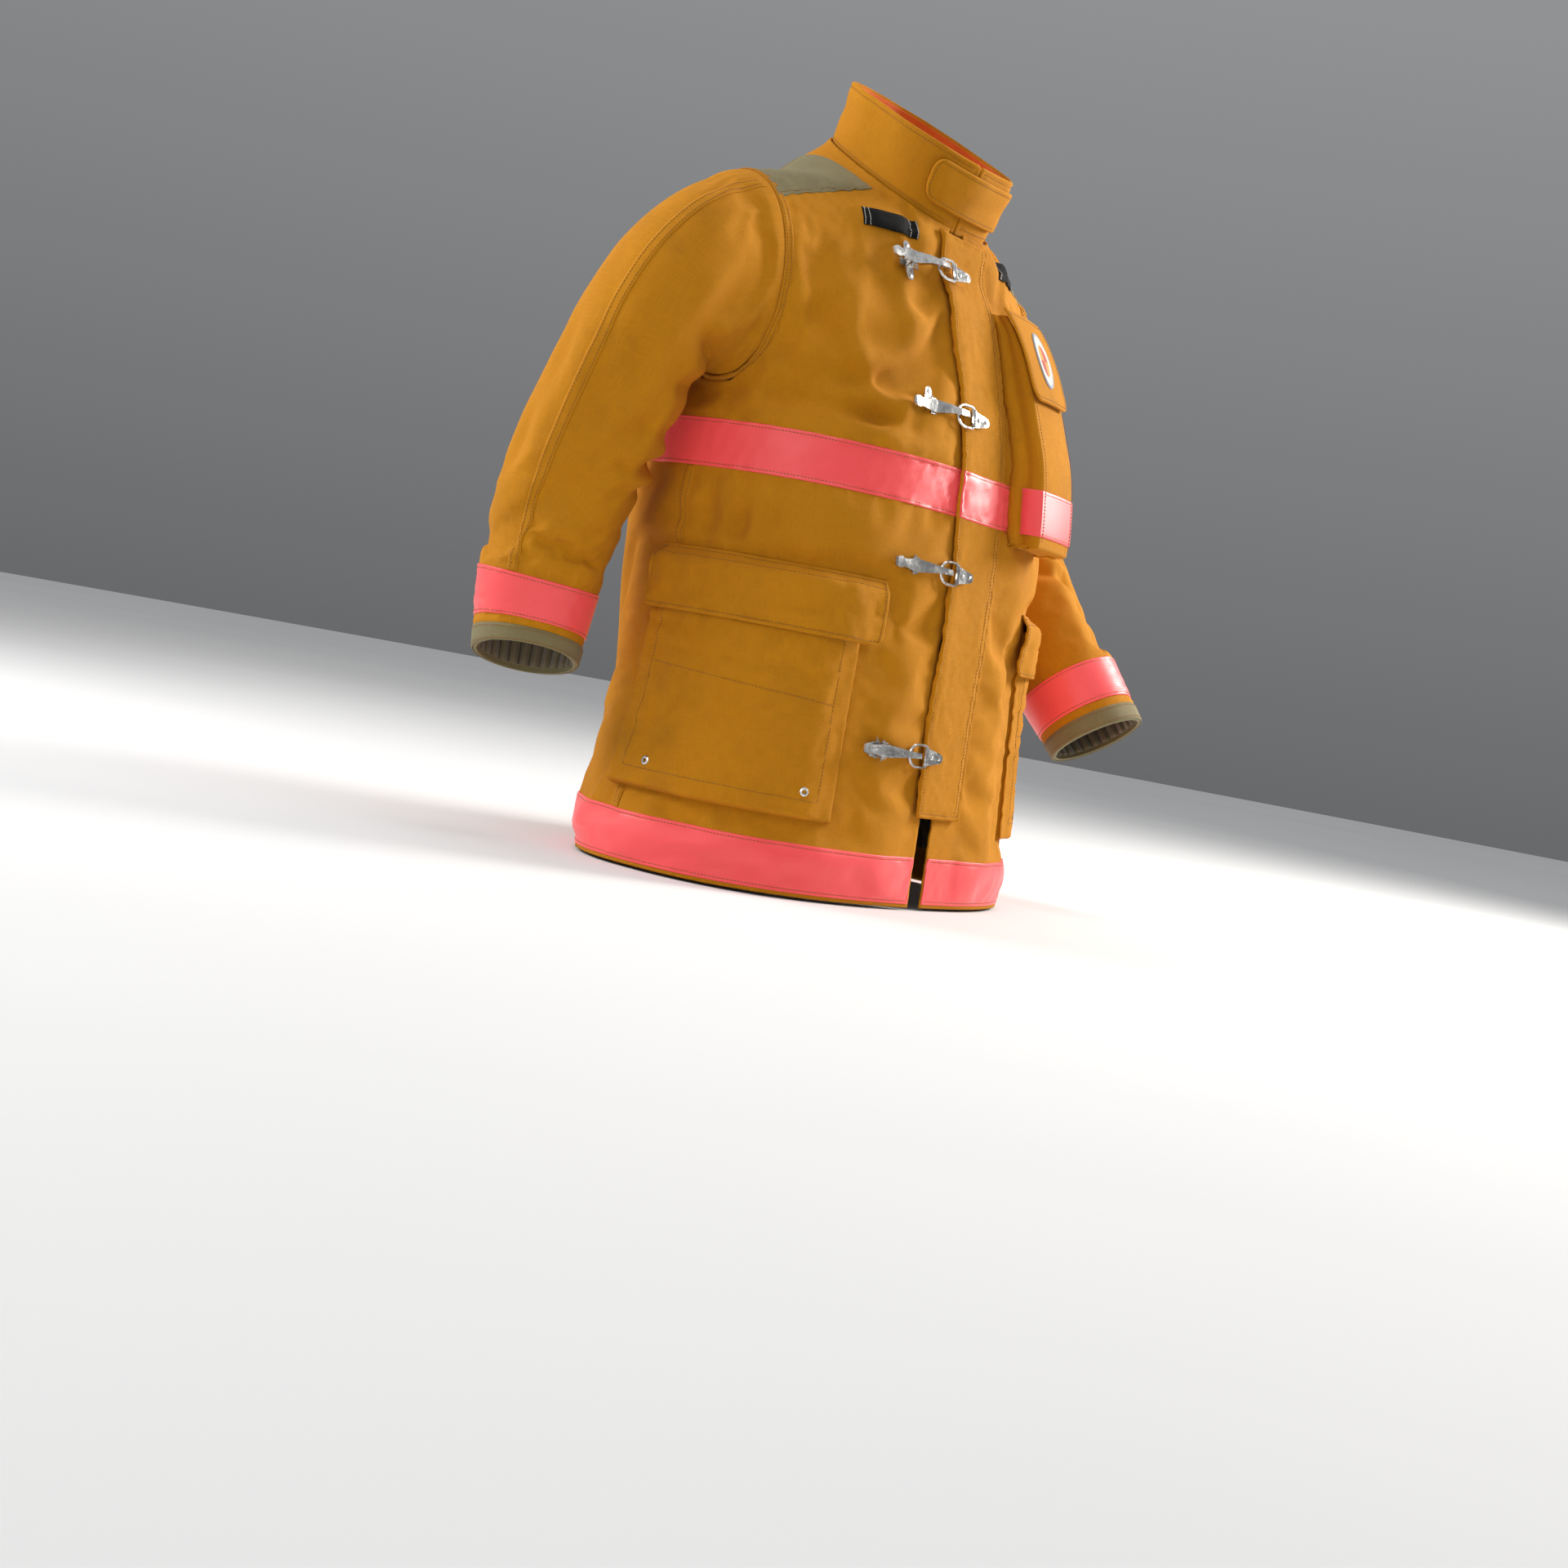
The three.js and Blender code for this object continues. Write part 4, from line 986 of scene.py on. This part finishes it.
def dress_sleeve(name):
    """A sleeve's shell and lining, its bands and its lapped seam."""
    sleeve, arm = Sleeve(name), f"{name}_arm"
    shell = sleeve.cloth(f"{name}_sleeve_shell", 0, 1.5, "shell")
    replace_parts(turn_with(shell, arm), f"{name}_sleeve")
    thicken(shell, SHELL)
    lining = sleeve.cloth(f"{name}_sleeve_lining", -SHELL - 1.2, 1.5, "liner")
    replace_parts(turn_with(lining, arm), f"{name}_sleeve_liner")
    thicken(lining, 3, 0)
    trim = ring_layer(sleeve, 32, TRIM_WIDTH, 1.0, 0.4, "trim", f"{name}_sleeve_trim_tape")
    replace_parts(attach(trim, arm), f"{name}_sleeve_trim")
    binding = ring_layer(sleeve, -0.6, 22, 1.6, 0.4, "patch", f"{name}_cuff_binding_tape")
    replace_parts(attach(binding, arm), f"{name}_cuff_binding")
    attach(ring_layer(sleeve, 0, 8, 5.4, -4.0, "patch", f"{name}_cuff_edge_binding", rows=()), arm)
    # The seam runs down the back of the arm, from the armhole to the trim.
    seam_at = GIRTH * (0.935 if sleeve.side < 0 else 0.065)
    long = sleeve.length - 88
    lap = Layer(lambda u, v: sleeve.place(seam_at + u, v + 84), LAP, long, 0.9, 0.2, step=6)
    sewn_on(lap.build(f"{name}_sleeve_seam", "shell"), arm)
    for u in LAP_ROWS:
        lap.sew([(u, 2), (u, long - 2)], arm)


for name in SLEEVES:
    dress_sleeve(name)


# ---- Armhole and side seams ----
def armhole_seam(side, name):
    """The armhole's felled seam, just inside the sleeve joint."""
    girth = 560
    *_, high, deep = SHOULDER[1]

    def place(u, v):
        a = u / girth * 2 * math.pi
        x = side * (ARMHOLE_X - 0.5 - v)
        return FORM.nearest(leaning(x, ARMHOLE_Y, ARMHOLE_Z, (deep + 0.2 * v) * np.sin(a), high * np.cos(a)))

    band = Layer(place, girth, LAP, 1.0, 0.3, around=True, step=6)
    for v in LAP_ROWS:
        band.sew([(0, v), (girth - 0.1, v)], "coat")
    sewn_on(band.build(f"armhole_seam_{name}", "shell"), "coat")


def side_seam(side, name):
    """The lapped seam at the side, from the hem trim to the armhole."""
    reach, start, long = 251, 56.0, 366
    lap = Layer(lambda u, v: on_body(side * 90 + (u - LAP / 2) / reach * DEGREES, start + v), LAP, long,
                0.9, 0.2, step=6)
    sewn_on(lap.build(f"side_seam_{name}", "shell"), "coat")
    for u in LAP_ROWS:
        lap.sew([(u, 2), (u, long - 2)], "coat")


for side, name in SIDES:
    armhole_seam(side, name)
    side_seam(side, name)


# ---- Trim and reinforcement on the body ----
def body_band(name, z, node):
    """A trim band from the left front edge round the back to the right front edge."""
    first, last, girth = -1.6, 351.6, 1480.0
    band = Layer(lambda u, v: on_body(first + (last - first) * u / girth, z + v), girth, TRIM_WIDTH, 1.0, 0.4,
                 dips=[(3.5, 0.3)], step=6)
    for v in TRIM_ROWS:
        band.sew([(4, v), (girth - 4, v)], "coat")
    sewn_on(band.build(name, "trim"), "coat", node)


def shoulder_patch(side, name):
    """Reinforcement across the shoulder's top, from the armhole to the neck."""
    def place(u, v):
        return from_above(side * (239 - u), -16 - 0.13 * u * (1 - v / 94) + v)

    patch = Layer(place, 132, 94, 1.2, 0.4, dips=[(3, 0.4)])
    sewn_on(patch.build(f"{name}_shoulder_reinforcement", "patch"), "coat", f"{name}_shoulder_patch")
    for v in (3, 91):
        patch.sew([(3, v), (129, v)], "coat")


body_band("chest_trim_tape", CHEST_TRIM, "chest_trim")
body_band("hem_trim_tape", HEM_TRIM, "hem_trim")
for side, name in SIDES:
    shoulder_patch(side, name)

# ---- Storm flap ----
FLAP_HEIGHT = 636.0
FLAP_WIDTH = FLAP_SPAN[1] - FLAP_SPAN[0]


def flap_place(u, v):
    x = FLAP_SPAN[0] + u
    top = neck_plane(np.interp(np.abs(x), (0, 50), (-96, -92)), 4)
    return from_front(x, FLAP_BOTTOM + v / FLAP_HEIGHT * (top - FLAP_BOTTOM))


def flap_lift(u, v):
    """The flap stands off more along its free edge, and waves a little between its hooks."""
    free = np.clip(1 - u / 50, 0, 1) ** 2
    wave = 1.0 + np.sin(v / FLAP_HEIGHT * 2 * math.pi * 3.6 + 0.8) + 0.4 * np.sin(v / 41 + 2.0)
    ripple = 0.7 * np.sin(v / 63 + u / 22) * swell(u / 85)
    return FLAP_LIFT + free * wave * 1.3 + ripple + 0.3


flap = Layer(flap_place, FLAP_WIDTH, FLAP_HEIGHT, FLAP_THICK, flap_lift, corners=(6, 3, 0, 0),
             dips=[(5.2, 0.9)], step=5)
sewn_on(flap.build("storm_flap_cloth", "shell"), "coat", "storm_flap")
inside, top_row = FLAP_WIDTH - 5.2, FLAP_HEIGHT - 2
flap.sew([(5.2, top_row), (5.2, 5.2), (inside, 5.2), (inside, top_row)], "coat")
flap.sew([(FLAP_WIDTH - 12, 8), (FLAP_WIDTH - 12, top_row)], "coat")


def on_flap(u, v):
    """Places on the storm flap's face, from the chest trim's lower edge up."""
    p, n = flap.at(1.0 + u.ravel(), (CHEST_TRIM - FLAP_BOTTOM + v).ravel())
    return p.reshape(*u.shape, 3), unit(n).reshape(*u.shape, 3)


band = Layer(on_flap, FLAP_WIDTH - 2, TRIM_WIDTH, 0.9, 0.15, dips=[(3.5, 0.3)], step=5)
sewn_on(band.build("chest_trim_on_storm_flap", "trim"), "coat", "chest_trim_on_flap")
for v in TRIM_ROWS:
    band.sew([(2, v), (FLAP_WIDTH - 4, v)], "coat")

for low, kind, node in ((0.4, "pile", "closure_loop_tape"), (1.2, "grip", "closure_hook_tape")):
    tape = Layer(lambda u, v: from_front(-42 + u, 120 + v), 11, 295, 0.5, low, step=7)
    sewn_on(tape.build(f"closure_{kind}_tape", "webbing"), "coat", node)

# ---- Lower pockets ----
# Side profile of a bellows pocket: in from its edge, and out from the shell.
BELLOWS = np.array([
    (0, 0.2), (-1.4, 1.2), (-1.8, 3.0), (0.4, 5.0), (1.6, 6.4), (0.2, 7.8), (-1.2, 9.8), (-0.6, 11.8),
    (1.2, 13.2), (3.6, 13.5), (7.0, 13.1), (10.5, 13.5), (16, 14.0)], float)
POCKET_GIRTH = 232


def round_from(side, first, u):
    """The bearing u mm of cloth round the body from another bearing."""
    return side * (first + u / POCKET_GIRTH * DEGREES)


def front_ease(u, least):
    """Share of its full depth that a pocket has near its front edge."""
    return least + (1 - least) * smoothstep(u / 34)


def pocket_cloth(side, name):
    """A pocket's bellows and face, open under its flap."""
    t0, t1 = POCKET["turns"]
    width, height = math.radians(t1 - t0) * POCKET_GIRTH, POCKET["top"] - POCKET["bottom"]
    fold, full = len(BELLOWS) - 1, BELLOWS[-1, 1]
    inner = np.linspace(BELLOWS[-1, 0], width - BELLOWS[-1, 0], 36)[1:-1]
    us = np.concatenate([BELLOWS[:, 0], inner, width - BELLOWS[::-1, 0]])
    vs = np.concatenate([BELLOWS[:, 0], np.linspace(20, height, 34)])
    out_u = np.concatenate([BELLOWS[:, 1], np.full(len(inner), full), BELLOWS[::-1, 1]])
    out_v = np.concatenate([BELLOWS[:, 1], np.full(34, full)])
    u, v = np.meshgrid(us, vs)
    out = np.minimum(out_u[None, :], out_v[:, None])
    p, n = on_body(round_from(side, t0, u), POCKET["bottom"] + v)
    across, up = swell(u / width), np.clip(v / height, 0, 1)
    belly = 2.2 * across * swell(up ** 0.8) + 0.9 * np.sin(u / 19.0 + 0.8) * swell(up) * across
    seam = 0.5 * np.exp(-((v - 118 - 0.06 * u) / 1.6) ** 2)
    h = out * front_ease(u, 0.45) - 0.6 + (out > 12) * (belly - seam)
    face = p + n * h[..., None]
    faces = grid_faces(*u.shape)
    if side < 0:
        faces = faces[:, ::-1]
    obj = new_mesh(f"{name}_pocket_cloth", face, faces, "shell", np.stack([u, v], -1) * 0.001)
    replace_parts(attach(thicken(obj, POCKET_CLOTH, 0), "coat"), f"{name}_pocket")
    rim, high = 17, height
    seams = [[(rim, high), (rim, rim), (width - rim, rim), (width - rim, high)],
             [(18, 119), (width - 18, 119 + 0.06 * width)]]
    for path in seams:
        a, b = dotted(path).T
        fu = np.interp(a, us[fold:-fold], np.arange(fold, len(us) - fold))
        fv = np.interp(b, vs[fold:], np.arange(fold, len(vs)))
        i, j = np.minimum(fv.astype(int), len(vs) - 2), np.minimum(fu.astype(int), len(us) - 2)
        stitch(*between((face, n), i, j, (fv - i)[:, None], (fu - j)[:, None]), "coat")


def pocket_flap(side, name):
    """A pocket's flap, sewn above its mouth."""
    first, last = POCKET_FLAP["turns"]
    width, height = math.radians(last - first) * POCKET_GIRTH, POCKET_FLAP["top"] - POCKET_FLAP["bottom"]

    def lift(u, v):
        """From the sewn edge the flap steps out over the pocket, and its free edge curls."""
        step_out = smoothstep((height - v) / 17) * (POCKET["depth"] + 2.4) * front_ease(u - 8, 0.5)
        curl = np.clip(1 - v / 34, 0, 1) ** 2 * (0.7 + 0.7 * np.cos(u / width * 2 * math.pi))
        return 0.6 + step_out + curl * 1.4

    lid = Layer(lambda u, v: on_body(round_from(side, first, u), POCKET_FLAP["bottom"] + v), width, height,
                2.8, lift, corners=(12, 12, 0, 0), dips=[(4.4, 0.6)], step=5, puff=0.5)
    body = f"{name}_flap"
    sewn_on(lid.build(f"{name}_pocket_flap_cloth", "shell"), body, f"{name}_pocket_flap")
    lid.hem(4.4, 3, body)
    for row in (3.4, 10):
        lid.sew([(3, height - row), (width - 3, height - row)], body)


for side, name in SIDES:
    pocket_cloth(side, name)
    pocket_flap(side, name)


# ---- Radio pocket ----
def radio_turned(local):
    """Directions in the radio pocket's turned frame, in the coat's."""
    c, s = math.cos(math.radians(RADIO["turn"])), math.sin(math.radians(RADIO["turn"]))
    x, y, z = local[..., 0], local[..., 1], local[..., 2]
    return np.stack([x * c - y * s, x * s + y * c, z], -1)


def radio_frame(local):
    """Points in the radio pocket's turned frame, in the coat's."""
    pivot = np.array([*RADIO["pivot"], 0.0])
    return pivot + radio_turned(local - pivot)


def radio_back(x, z):
    """The body behind the radio pocket, straight back from local x."""
    start = radio_frame(np.stack([x, np.full(x.shape, -420.0), z], -1))
    p, _ = FORM.cast(start, radio_turned(np.array([0.0, 1, 0])))
    return -420.0 + np.linalg.norm(p - start, axis=-1)


def radio_face(x, z, forward=0.0):
    """Points and normals on the pocket's front."""
    fine = flowing(RADIO_FACE, 6)
    fine = fine[np.argsort(fine[:, 1])]
    y = np.interp(z, fine[:, 1], fine[:, 0]) - forward
    slope = np.interp(z, fine[:, 1], np.gradient(fine[:, 0], fine[:, 1]))
    n = unit(np.stack([np.zeros_like(z), -np.ones_like(z), slope], -1))
    return radio_frame(np.stack([x, y, z], -1)), radio_turned(n)


RADIO_LEFT, RADIO_WIDTH = RADIO["x"][0], RADIO["x"][1] - RADIO["x"][0]


def radio_wall(x, z, share, sink):
    """Points and face normals on the pocket's walls, a share of the way out from the body."""
    local_x = RADIO_LEFT + x
    behind = radio_back(np.clip(local_x, *RADIO["x"]), z)
    front, n = radio_face(local_x, z)
    back = radio_frame(np.stack([local_x, behind, z], -1))
    bulge = 2.0 * swell(x / RADIO_WIDTH) * (share >= 1)
    return back + (front - back) * share[..., None] + n * (bulge - sink)[..., None], n


def radio_cloth():
    """The pocket's walls and face, with a pleat in its sides and bottom."""
    width, mouth = RADIO_WIDTH, RADIO["top"] - RADIO["bottom"]
    # Place across or up from the edge, and share of the way out from the body.
    across = np.array([(0, 0.0), (-1.2, 0.15), (-1.0, 0.3), (2.6, 0.45), (3.0, 0.52), (0.2, 0.66),
                       (-0.8, 0.82), (0.2, 0.95), (1.8, 1.0), (4.5, 1.0), (8, 1.0)])
    up = np.array([(0, 0.0), (-1.0, 0.2), (0.6, 0.45), (2.0, 0.55), (-0.6, 0.75), (0.2, 0.93), (2.0, 1.0),
                   (5, 1.0), (9, 1.0)])
    xs = np.concatenate([across[:, 0], np.linspace(14, width - 14, 10), width - across[::-1, 0]])
    share_x = np.concatenate([across[:, 1], np.ones(10), across[::-1, 1]])
    zs = np.concatenate([up[:, 0], np.linspace(16, mouth, 30), mouth + np.array([0.5, 1, 12, 23])])
    share_z = np.concatenate([up[:, 1], np.ones(34)])
    x, z = np.meshgrid(xs, zs)
    share = np.minimum(share_x[None], share_z[:, None])
    inside = (x > 6) & (x < width - 6)
    share = np.where(inside & (z > mouth + 0.7), 0.25, np.where(inside & (z > mouth + 0.2), 0.8, share))
    wall, _ = radio_wall(x, RADIO["bottom"] + z, share, 1.2)
    uv = np.stack([x + 30 * (1 - share), z], -1) * 0.001
    obj = new_mesh("radio_pocket_cloth", wall, grid_faces(*x.shape), "shell", uv)
    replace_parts(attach(thicken(obj, POCKET_CLOTH, 0), "coat"), "radio_pocket")
    for at in (4.5, width - 4.5):
        z = np.arange(RADIO["bottom"] + 8, 575, 3.0)
        stitch(*radio_face(np.full(z.shape, RADIO_LEFT + at), z, 0.9), "coat")


def radio_trim():
    """Trim across the pocket's front and round both its sides."""
    width = RADIO_WIDTH
    steps = np.concatenate([[0, 0.5, 1], np.linspace(2, width - 2, 14), [width - 1, width - 0.5, width]])
    wrap = [0.45, 0.65, 0.85]
    xs = np.concatenate([np.full(3, -0.6), steps, np.full(3, width + 0.6)])
    shares = np.concatenate([wrap, [0.97], np.ones(len(steps) - 2), [0.97], wrap[::-1]])
    x, v = np.meshgrid(xs, stops(TRIM_WIDTH))
    share = np.broadcast_to(shares, x.shape)
    base, n = radio_wall(x, CHEST_TRIM + v, share, 1.0)
    sideways = np.where(x < 2, -1.0, np.where(x > width - 2, 1.0, 0.0))
    sideways = radio_turned(np.stack([sideways, 0 * x, 0 * x], -1))
    out = unit(n * (share >= 0.97)[..., None] + sideways)
    rim = np.clip(np.minimum(v, TRIM_WIDTH - v) / 0.8, 0.3, 1)
    uv = np.stack([x + 30 * (1 - share), v], -1)
    obj = new_slab("chest_trim_on_radio_pocket", base + out * (0.3 + rim[..., None]), base + out * 0.2,
                   uv, "trim")
    sewn_on(obj, "coat", "chest_trim_on_pocket")
    x = np.arange(2, width - 2, 3.0)
    for v in TRIM_ROWS:
        p, n = radio_face(RADIO_LEFT + x, np.full(x.shape, CHEST_TRIM + v))
        stitch(p + n * (0.2 + 2.0 * np.sin(np.pi * x / width))[:, None], n, "coat")


def radio_flap():
    """The pocket's flap and the oval badge on it: rings of points with a raised embroidered rim."""
    left, right = RADIO_FLAP["x"]
    width, height = right - left, RADIO_FLAP["top"] - RADIO_FLAP["bottom"]
    lid = Layer(lambda u, v: radio_face(left + u, RADIO_FLAP["bottom"] + v), width, height,
                RADIO_FLAP["thick"],
                lambda u, v: 1.6 + 1.6 * swell(u / width) + 2.0 * np.clip(1 - v / 30, 0, 1) ** 2,
                corners=(16, 16, 0, 0), dips=[(4.4, 0.6)], step=5)
    sewn_on(lid.build("radio_flap_cloth", "shell"), "radio_flap", "radio_pocket_flap")
    lid.hem(4.4, 3, "radio_flap")
    lid.sew([(3, height - 5), (width - 3, height - 5)], "radio_flap")
    middle, half_w, half_h = (width / 2, BADGE["z"] - RADIO_FLAP["bottom"]), BADGE["half_w"], BADGE["half_h"]
    rings = [(0.0, 0.7), (0.3, 0.8), (0.58, 0.8), (0.62, 0.7), (0.84, 0.75), (0.88, 1.2), (0.94, 1.5),
             (1.0, 1.1), (1.02, 0.0)]
    turns = np.linspace(0, 2 * math.pi, 48, endpoint=False)
    verts, uvs = [], []
    for r, h in rings:
        u, v = r * np.cos(turns), r * np.sin(turns)
        p, n = lid.at(middle[0] + half_w * u, middle[1] + half_h * v)
        verts.append(p + n * (0.3 + h))
        uvs.append(np.stack([u, v], -1))
    faces = grid_faces(len(rings), len(turns), True)
    badge = new_mesh("oval_badge", np.concatenate(verts), faces, "badge", np.concatenate(uvs))
    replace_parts(turn_with(badge, "radio_flap"), "flap_badge")


radio_cloth()
radio_trim()
radio_flap()

# ---- Collar ----
COLLAR = dict(first=-9.5, last=350.0, girth=590.0, height=66.0)
STRAP = dict(first=-46.0, last=24.0, low=13.0, high=56.0, width=108.0)


def collar_place(grow, low, first, last, girth):
    """Places round the collar, grown by some mm and from a height up; it waves more towards its rim."""
    def place(u, v):
        t = (v + low) / COLLAR["height"]
        s = NECK + (RIM - NECK) * t[..., None]
        s[..., :2] += grow
        turn = np.radians(first + (last - first) * u / girth)
        p = section(turn, s)
        near, far = section(turn - 0.01, s), section(turn + 0.01, s)
        rise = section(turn, s + (RIM - NECK) * 0.05) - p
        n = unit(np.cross(far - near, rise))
        wave = (1.6 * np.sin(turn * 5 + 0.7) + 1.1 * np.sin(turn * 11 + 2.2 + 1.5 * t)) * np.clip(t, 0, 1)
        fold = (t - 0.42 - 0.16 * np.sin(turn * 2)) / 0.13
        wave = wave - 2.2 * np.exp(-fold ** 2) * np.cos(turn * 1.5) ** 2
        return p + n * wave[..., None], n
    return place


def collar():
    round_all, high = (COLLAR["first"], COLLAR["last"], COLLAR["girth"]), COLLAR["height"]
    outer = Layer(collar_place(-3.0, -5.0, *round_all), COLLAR["girth"], high + 5, 3.0, 0.0,
                  corners=(0, 0, 4, 4), dips=[(5.2, 0.7)], step=5)
    sewn_on(outer.build("collar_outer", "shell"), "coat", "collar_shell")
    for v in (high - 0.2, 9.0):
        outer.sew([(6, v), (COLLAR["girth"] - 6, v)], "coat")
    inner = Layer(collar_place(-6.0, -1.0, *round_all), COLLAR["girth"], high - 2, 2.2, 0.0, step=5)
    sewn_on(inner.build("collar_inner", "lining"), "coat", "collar_lining")


def throat_strap():
    width, height = STRAP["width"], STRAP["high"] - STRAP["low"]
    place = collar_place(1.2, STRAP["low"], STRAP["first"], STRAP["last"], width)
    strap = Layer(place, width, height, 3.6, lambda u, v: 0.6 + 1.6 * np.clip(1 - u / 40, 0, 1) ** 2,
                  corners=(15, 3, 3, 15), dips=[(4.4, 0.7)], step=5, puff=0.4)
    sewn_on(strap.build("throat_strap_cloth", "shell"), "throat_tab", "throat_strap")
    high = height - 4.4
    strap.sew([(width - 4, high), (4.4, high), (4.4, 4.4), (width - 4, 4.4)], "throat_tab")


collar()
throat_strap()


# ---- Webbing: microphone tabs and hanger loop ----
def mic_tab(name):
    """A tab sewn down at both ends, over the CAD's mount, with white bar tacks."""
    mount = next(m for m in frame["record"]["mounts"] if m["name"] == f"{name}_mic_tab")
    middle = np.array(mount["pos_m"]) * 1000 + ORIGIN
    out = np.array(mount["axis"], float)
    across = unit(np.cross(np.array([0.0, 0, 1]), out))
    rise = unit(np.cross(out, across))
    half_w, half_h = 34, 11
    xs = np.array([0, 12, 18, 21, 24, 27, 30, 32.5, half_w])
    ys = np.array([0, 4, 8, 10.4, half_h])
    x, y = np.meshgrid(np.append(-xs[:0:-1], xs), np.append(-ys[:0:-1], ys))
    flat = middle + x[..., None] * across + y[..., None] * rise
    hit, _ = FORM.cast(flat + out * 40, -out)
    gap = np.sum((flat - hit) * out, -1)
    stand = 3.4 - 1.5 * smoothstep((np.abs(x) - 20) / 8)
    top = flat - out * (gap - stand)[..., None]
    rim = np.clip(np.minimum(half_h - np.abs(y), half_w - np.abs(x)) / 0.8, 0.2, 1)
    obj = new_slab(f"{name}_mic_tab_webbing", top + out * (rim - 1)[..., None], top - out * 1.6,
                   np.stack([x, y], -1), "webbing")
    sewn_on(obj, "coat", f"{name}_mic_tab")
    for at in (-31.5, -25.5, 25.5, 31.5):
        column = int(np.argmin(np.abs(x[0] - at)))
        line = top[:, column] + 0.1 * out
        stitch(line, np.repeat(out[None], len(line), 0), "coat", "white_thread", pitch=3.0)


def hanger_loop():
    """Webbing bent in one curve inside the back neck."""
    t = np.linspace(0, 1, 25)[:, None]
    a, b, c, d = (np.array(p, float) for p in ((-32, 0, -3), (-24, -13, 4), (24, -13, 4), (32, 0, -3)))
    path = a * (1 - t) ** 3 + 3 * b * t * (1 - t) ** 2 + 3 * c * t * t * (1 - t) + d * t ** 3
    path = path + np.array([0, 80, 848.0])
    tangent = unit(np.gradient(path, axis=0))
    flatwise = unit(np.cross(tangent, np.array([0.0, 0, 1])))
    rise = unit(np.cross(flatwise, tangent))
    ring = [(-0.9, -3.4), (-0.6, -4), (0.6, -4), (0.9, -3.4), (0.9, 3.4), (0.6, 4), (-0.6, 4), (-0.9, 3.4)]
    verts = np.stack([path + flatwise * x + rise * y for x, y in ring], 1)
    uv = np.stack(np.meshgrid(np.linspace(0, 0.016, len(ring)), np.linspace(0, 0.08, len(t))), -1)
    last = (len(t) - 1) * len(ring)
    faces = [list(f) for f in grid_faces(len(t), len(ring), True)]
    faces += [list(range(len(ring)))[::-1], [last + k for k in range(len(ring))]]
    obj = new_mesh("hanger_loop_webbing", verts, faces, "webbing", uv)
    sewn_on(obj, "coat", "hanger_loop")


for _, name in SIDES:
    mic_tab(name)
hanger_loop()

# ---- Stitching ----
for body, obj in build_threads():
    turn_with(obj, body)

# ---- Metal: the CAD's own hooks, dees and eyelets, with their edges eased ----
for node, obj in nodes.items():
    if node.startswith(("hook_", "dee_")) or node.endswith("drain_eyelet"):
        obj.data.materials.clear()
        obj.data.materials.append(MATS["metal"])
        ease = obj.modifiers.new("ease", "BEVEL")
        ease.width, ease.segments, ease.limit_method, ease.angle_limit = 0.0005, 2, "ANGLE", math.radians(35)

bpy.data.objects.remove(form)


# ---- Floor, light and camera ----
def towards(azimuth, elevation):
    """The direction of a viewpoint: azimuth 0 is in front, elevation 0 level."""
    a, e = math.radians(azimuth), math.radians(elevation)
    return Vector((math.sin(a) * math.cos(e), -math.cos(a) * math.cos(e), math.sin(e)))


low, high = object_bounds()
bpy.ops.mesh.primitive_circle_add(vertices=96, radius=9, fill_type="NGON", location=(0, -0.07, low.z - 0.003))
floor = bpy.context.object
floor.name = "floor"
paper = Shader("floor_paper", 0.9)
paper.colour(paper.mix(paper.span(paper.noise(1.2, 2), 0.3, 0.7), (0.72, 0.72, 0.72), (0.75, 0.75, 0.745)))
floor.data.materials.append(paper.mat)


def studio():
    """A room that is dim at its sides and bright overhead."""
    world = bpy.data.worlds.new("studio")
    world.use_nodes = True
    nodes, links = world.node_tree.nodes, world.node_tree.links
    lamp = nodes["Background"]
    lamp.inputs["Color"].default_value = (0.80, 0.81, 0.83, 1)
    height = nodes.new("ShaderNodeSeparateXYZ")
    glow = nodes.new("ShaderNodeMapRange")
    for key, value in (("From Min", -0.05), ("From Max", 0.9), ("To Min", 0.16), ("To Max", 0.66)):
        glow.inputs[key].default_value = value
    links.new(nodes.new("ShaderNodeTexCoord").outputs["Generated"], height.inputs[0])
    links.new(height.outputs[2], glow.inputs["Value"])
    links.new(glow.outputs[0], lamp.inputs["Strength"])
    bpy.context.scene.world = world
    bpy.context.scene.view_settings.view_transform = "Standard"


def softbox(name, azimuth, elevation, distance, size, power, colour=(1, 1, 1)):
    target = Vector((0, -0.06, -0.42))
    light = bpy.data.lights.new(name, "AREA")
    light.shape, light.size, light.energy, light.color = "DISK", size, power, colour
    obj = linked(name, light)
    obj.location = target + distance * towards(azimuth, elevation)
    obj.rotation_euler = (target - obj.location).to_track_quat("-Z", "Y").to_euler()


def photo_camera():
    """The photograph's view: from the coat's right front, with the camera rolled."""
    azimuth, elevation, roll, distance = -52, 3, math.radians(10.5), 2.5
    back = towards(azimuth, elevation)
    place = Vector((-0.010, -0.059, -0.750)) + distance * back
    right = Vector((math.cos(math.radians(azimuth)), math.sin(math.radians(azimuth)), 0))
    up = back.cross(right)
    across = right * math.cos(roll) + up * math.sin(roll)
    upright = up * math.cos(roll) - right * math.sin(roll)
    camera = linked("camera", bpy.data.cameras.new("camera"))
    camera.data.lens, camera.data.sensor_width = 50, 36
    camera.matrix_world = Matrix.Translation(place) @ Matrix((across, upright, back)).transposed().to_4x4()
    bpy.context.scene.camera = camera


studio()
softbox("key", 62, 24, 2.6, 1.0, 92, (1, 0.97, 0.92))
softbox("back_light", -140, 24, 2.6, 1.0, 46)
softbox("fill", -70, 30, 2.8, 1.6, 14)
softbox("top", -30, 80, 2.4, 1.2, 12)
photo_camera()
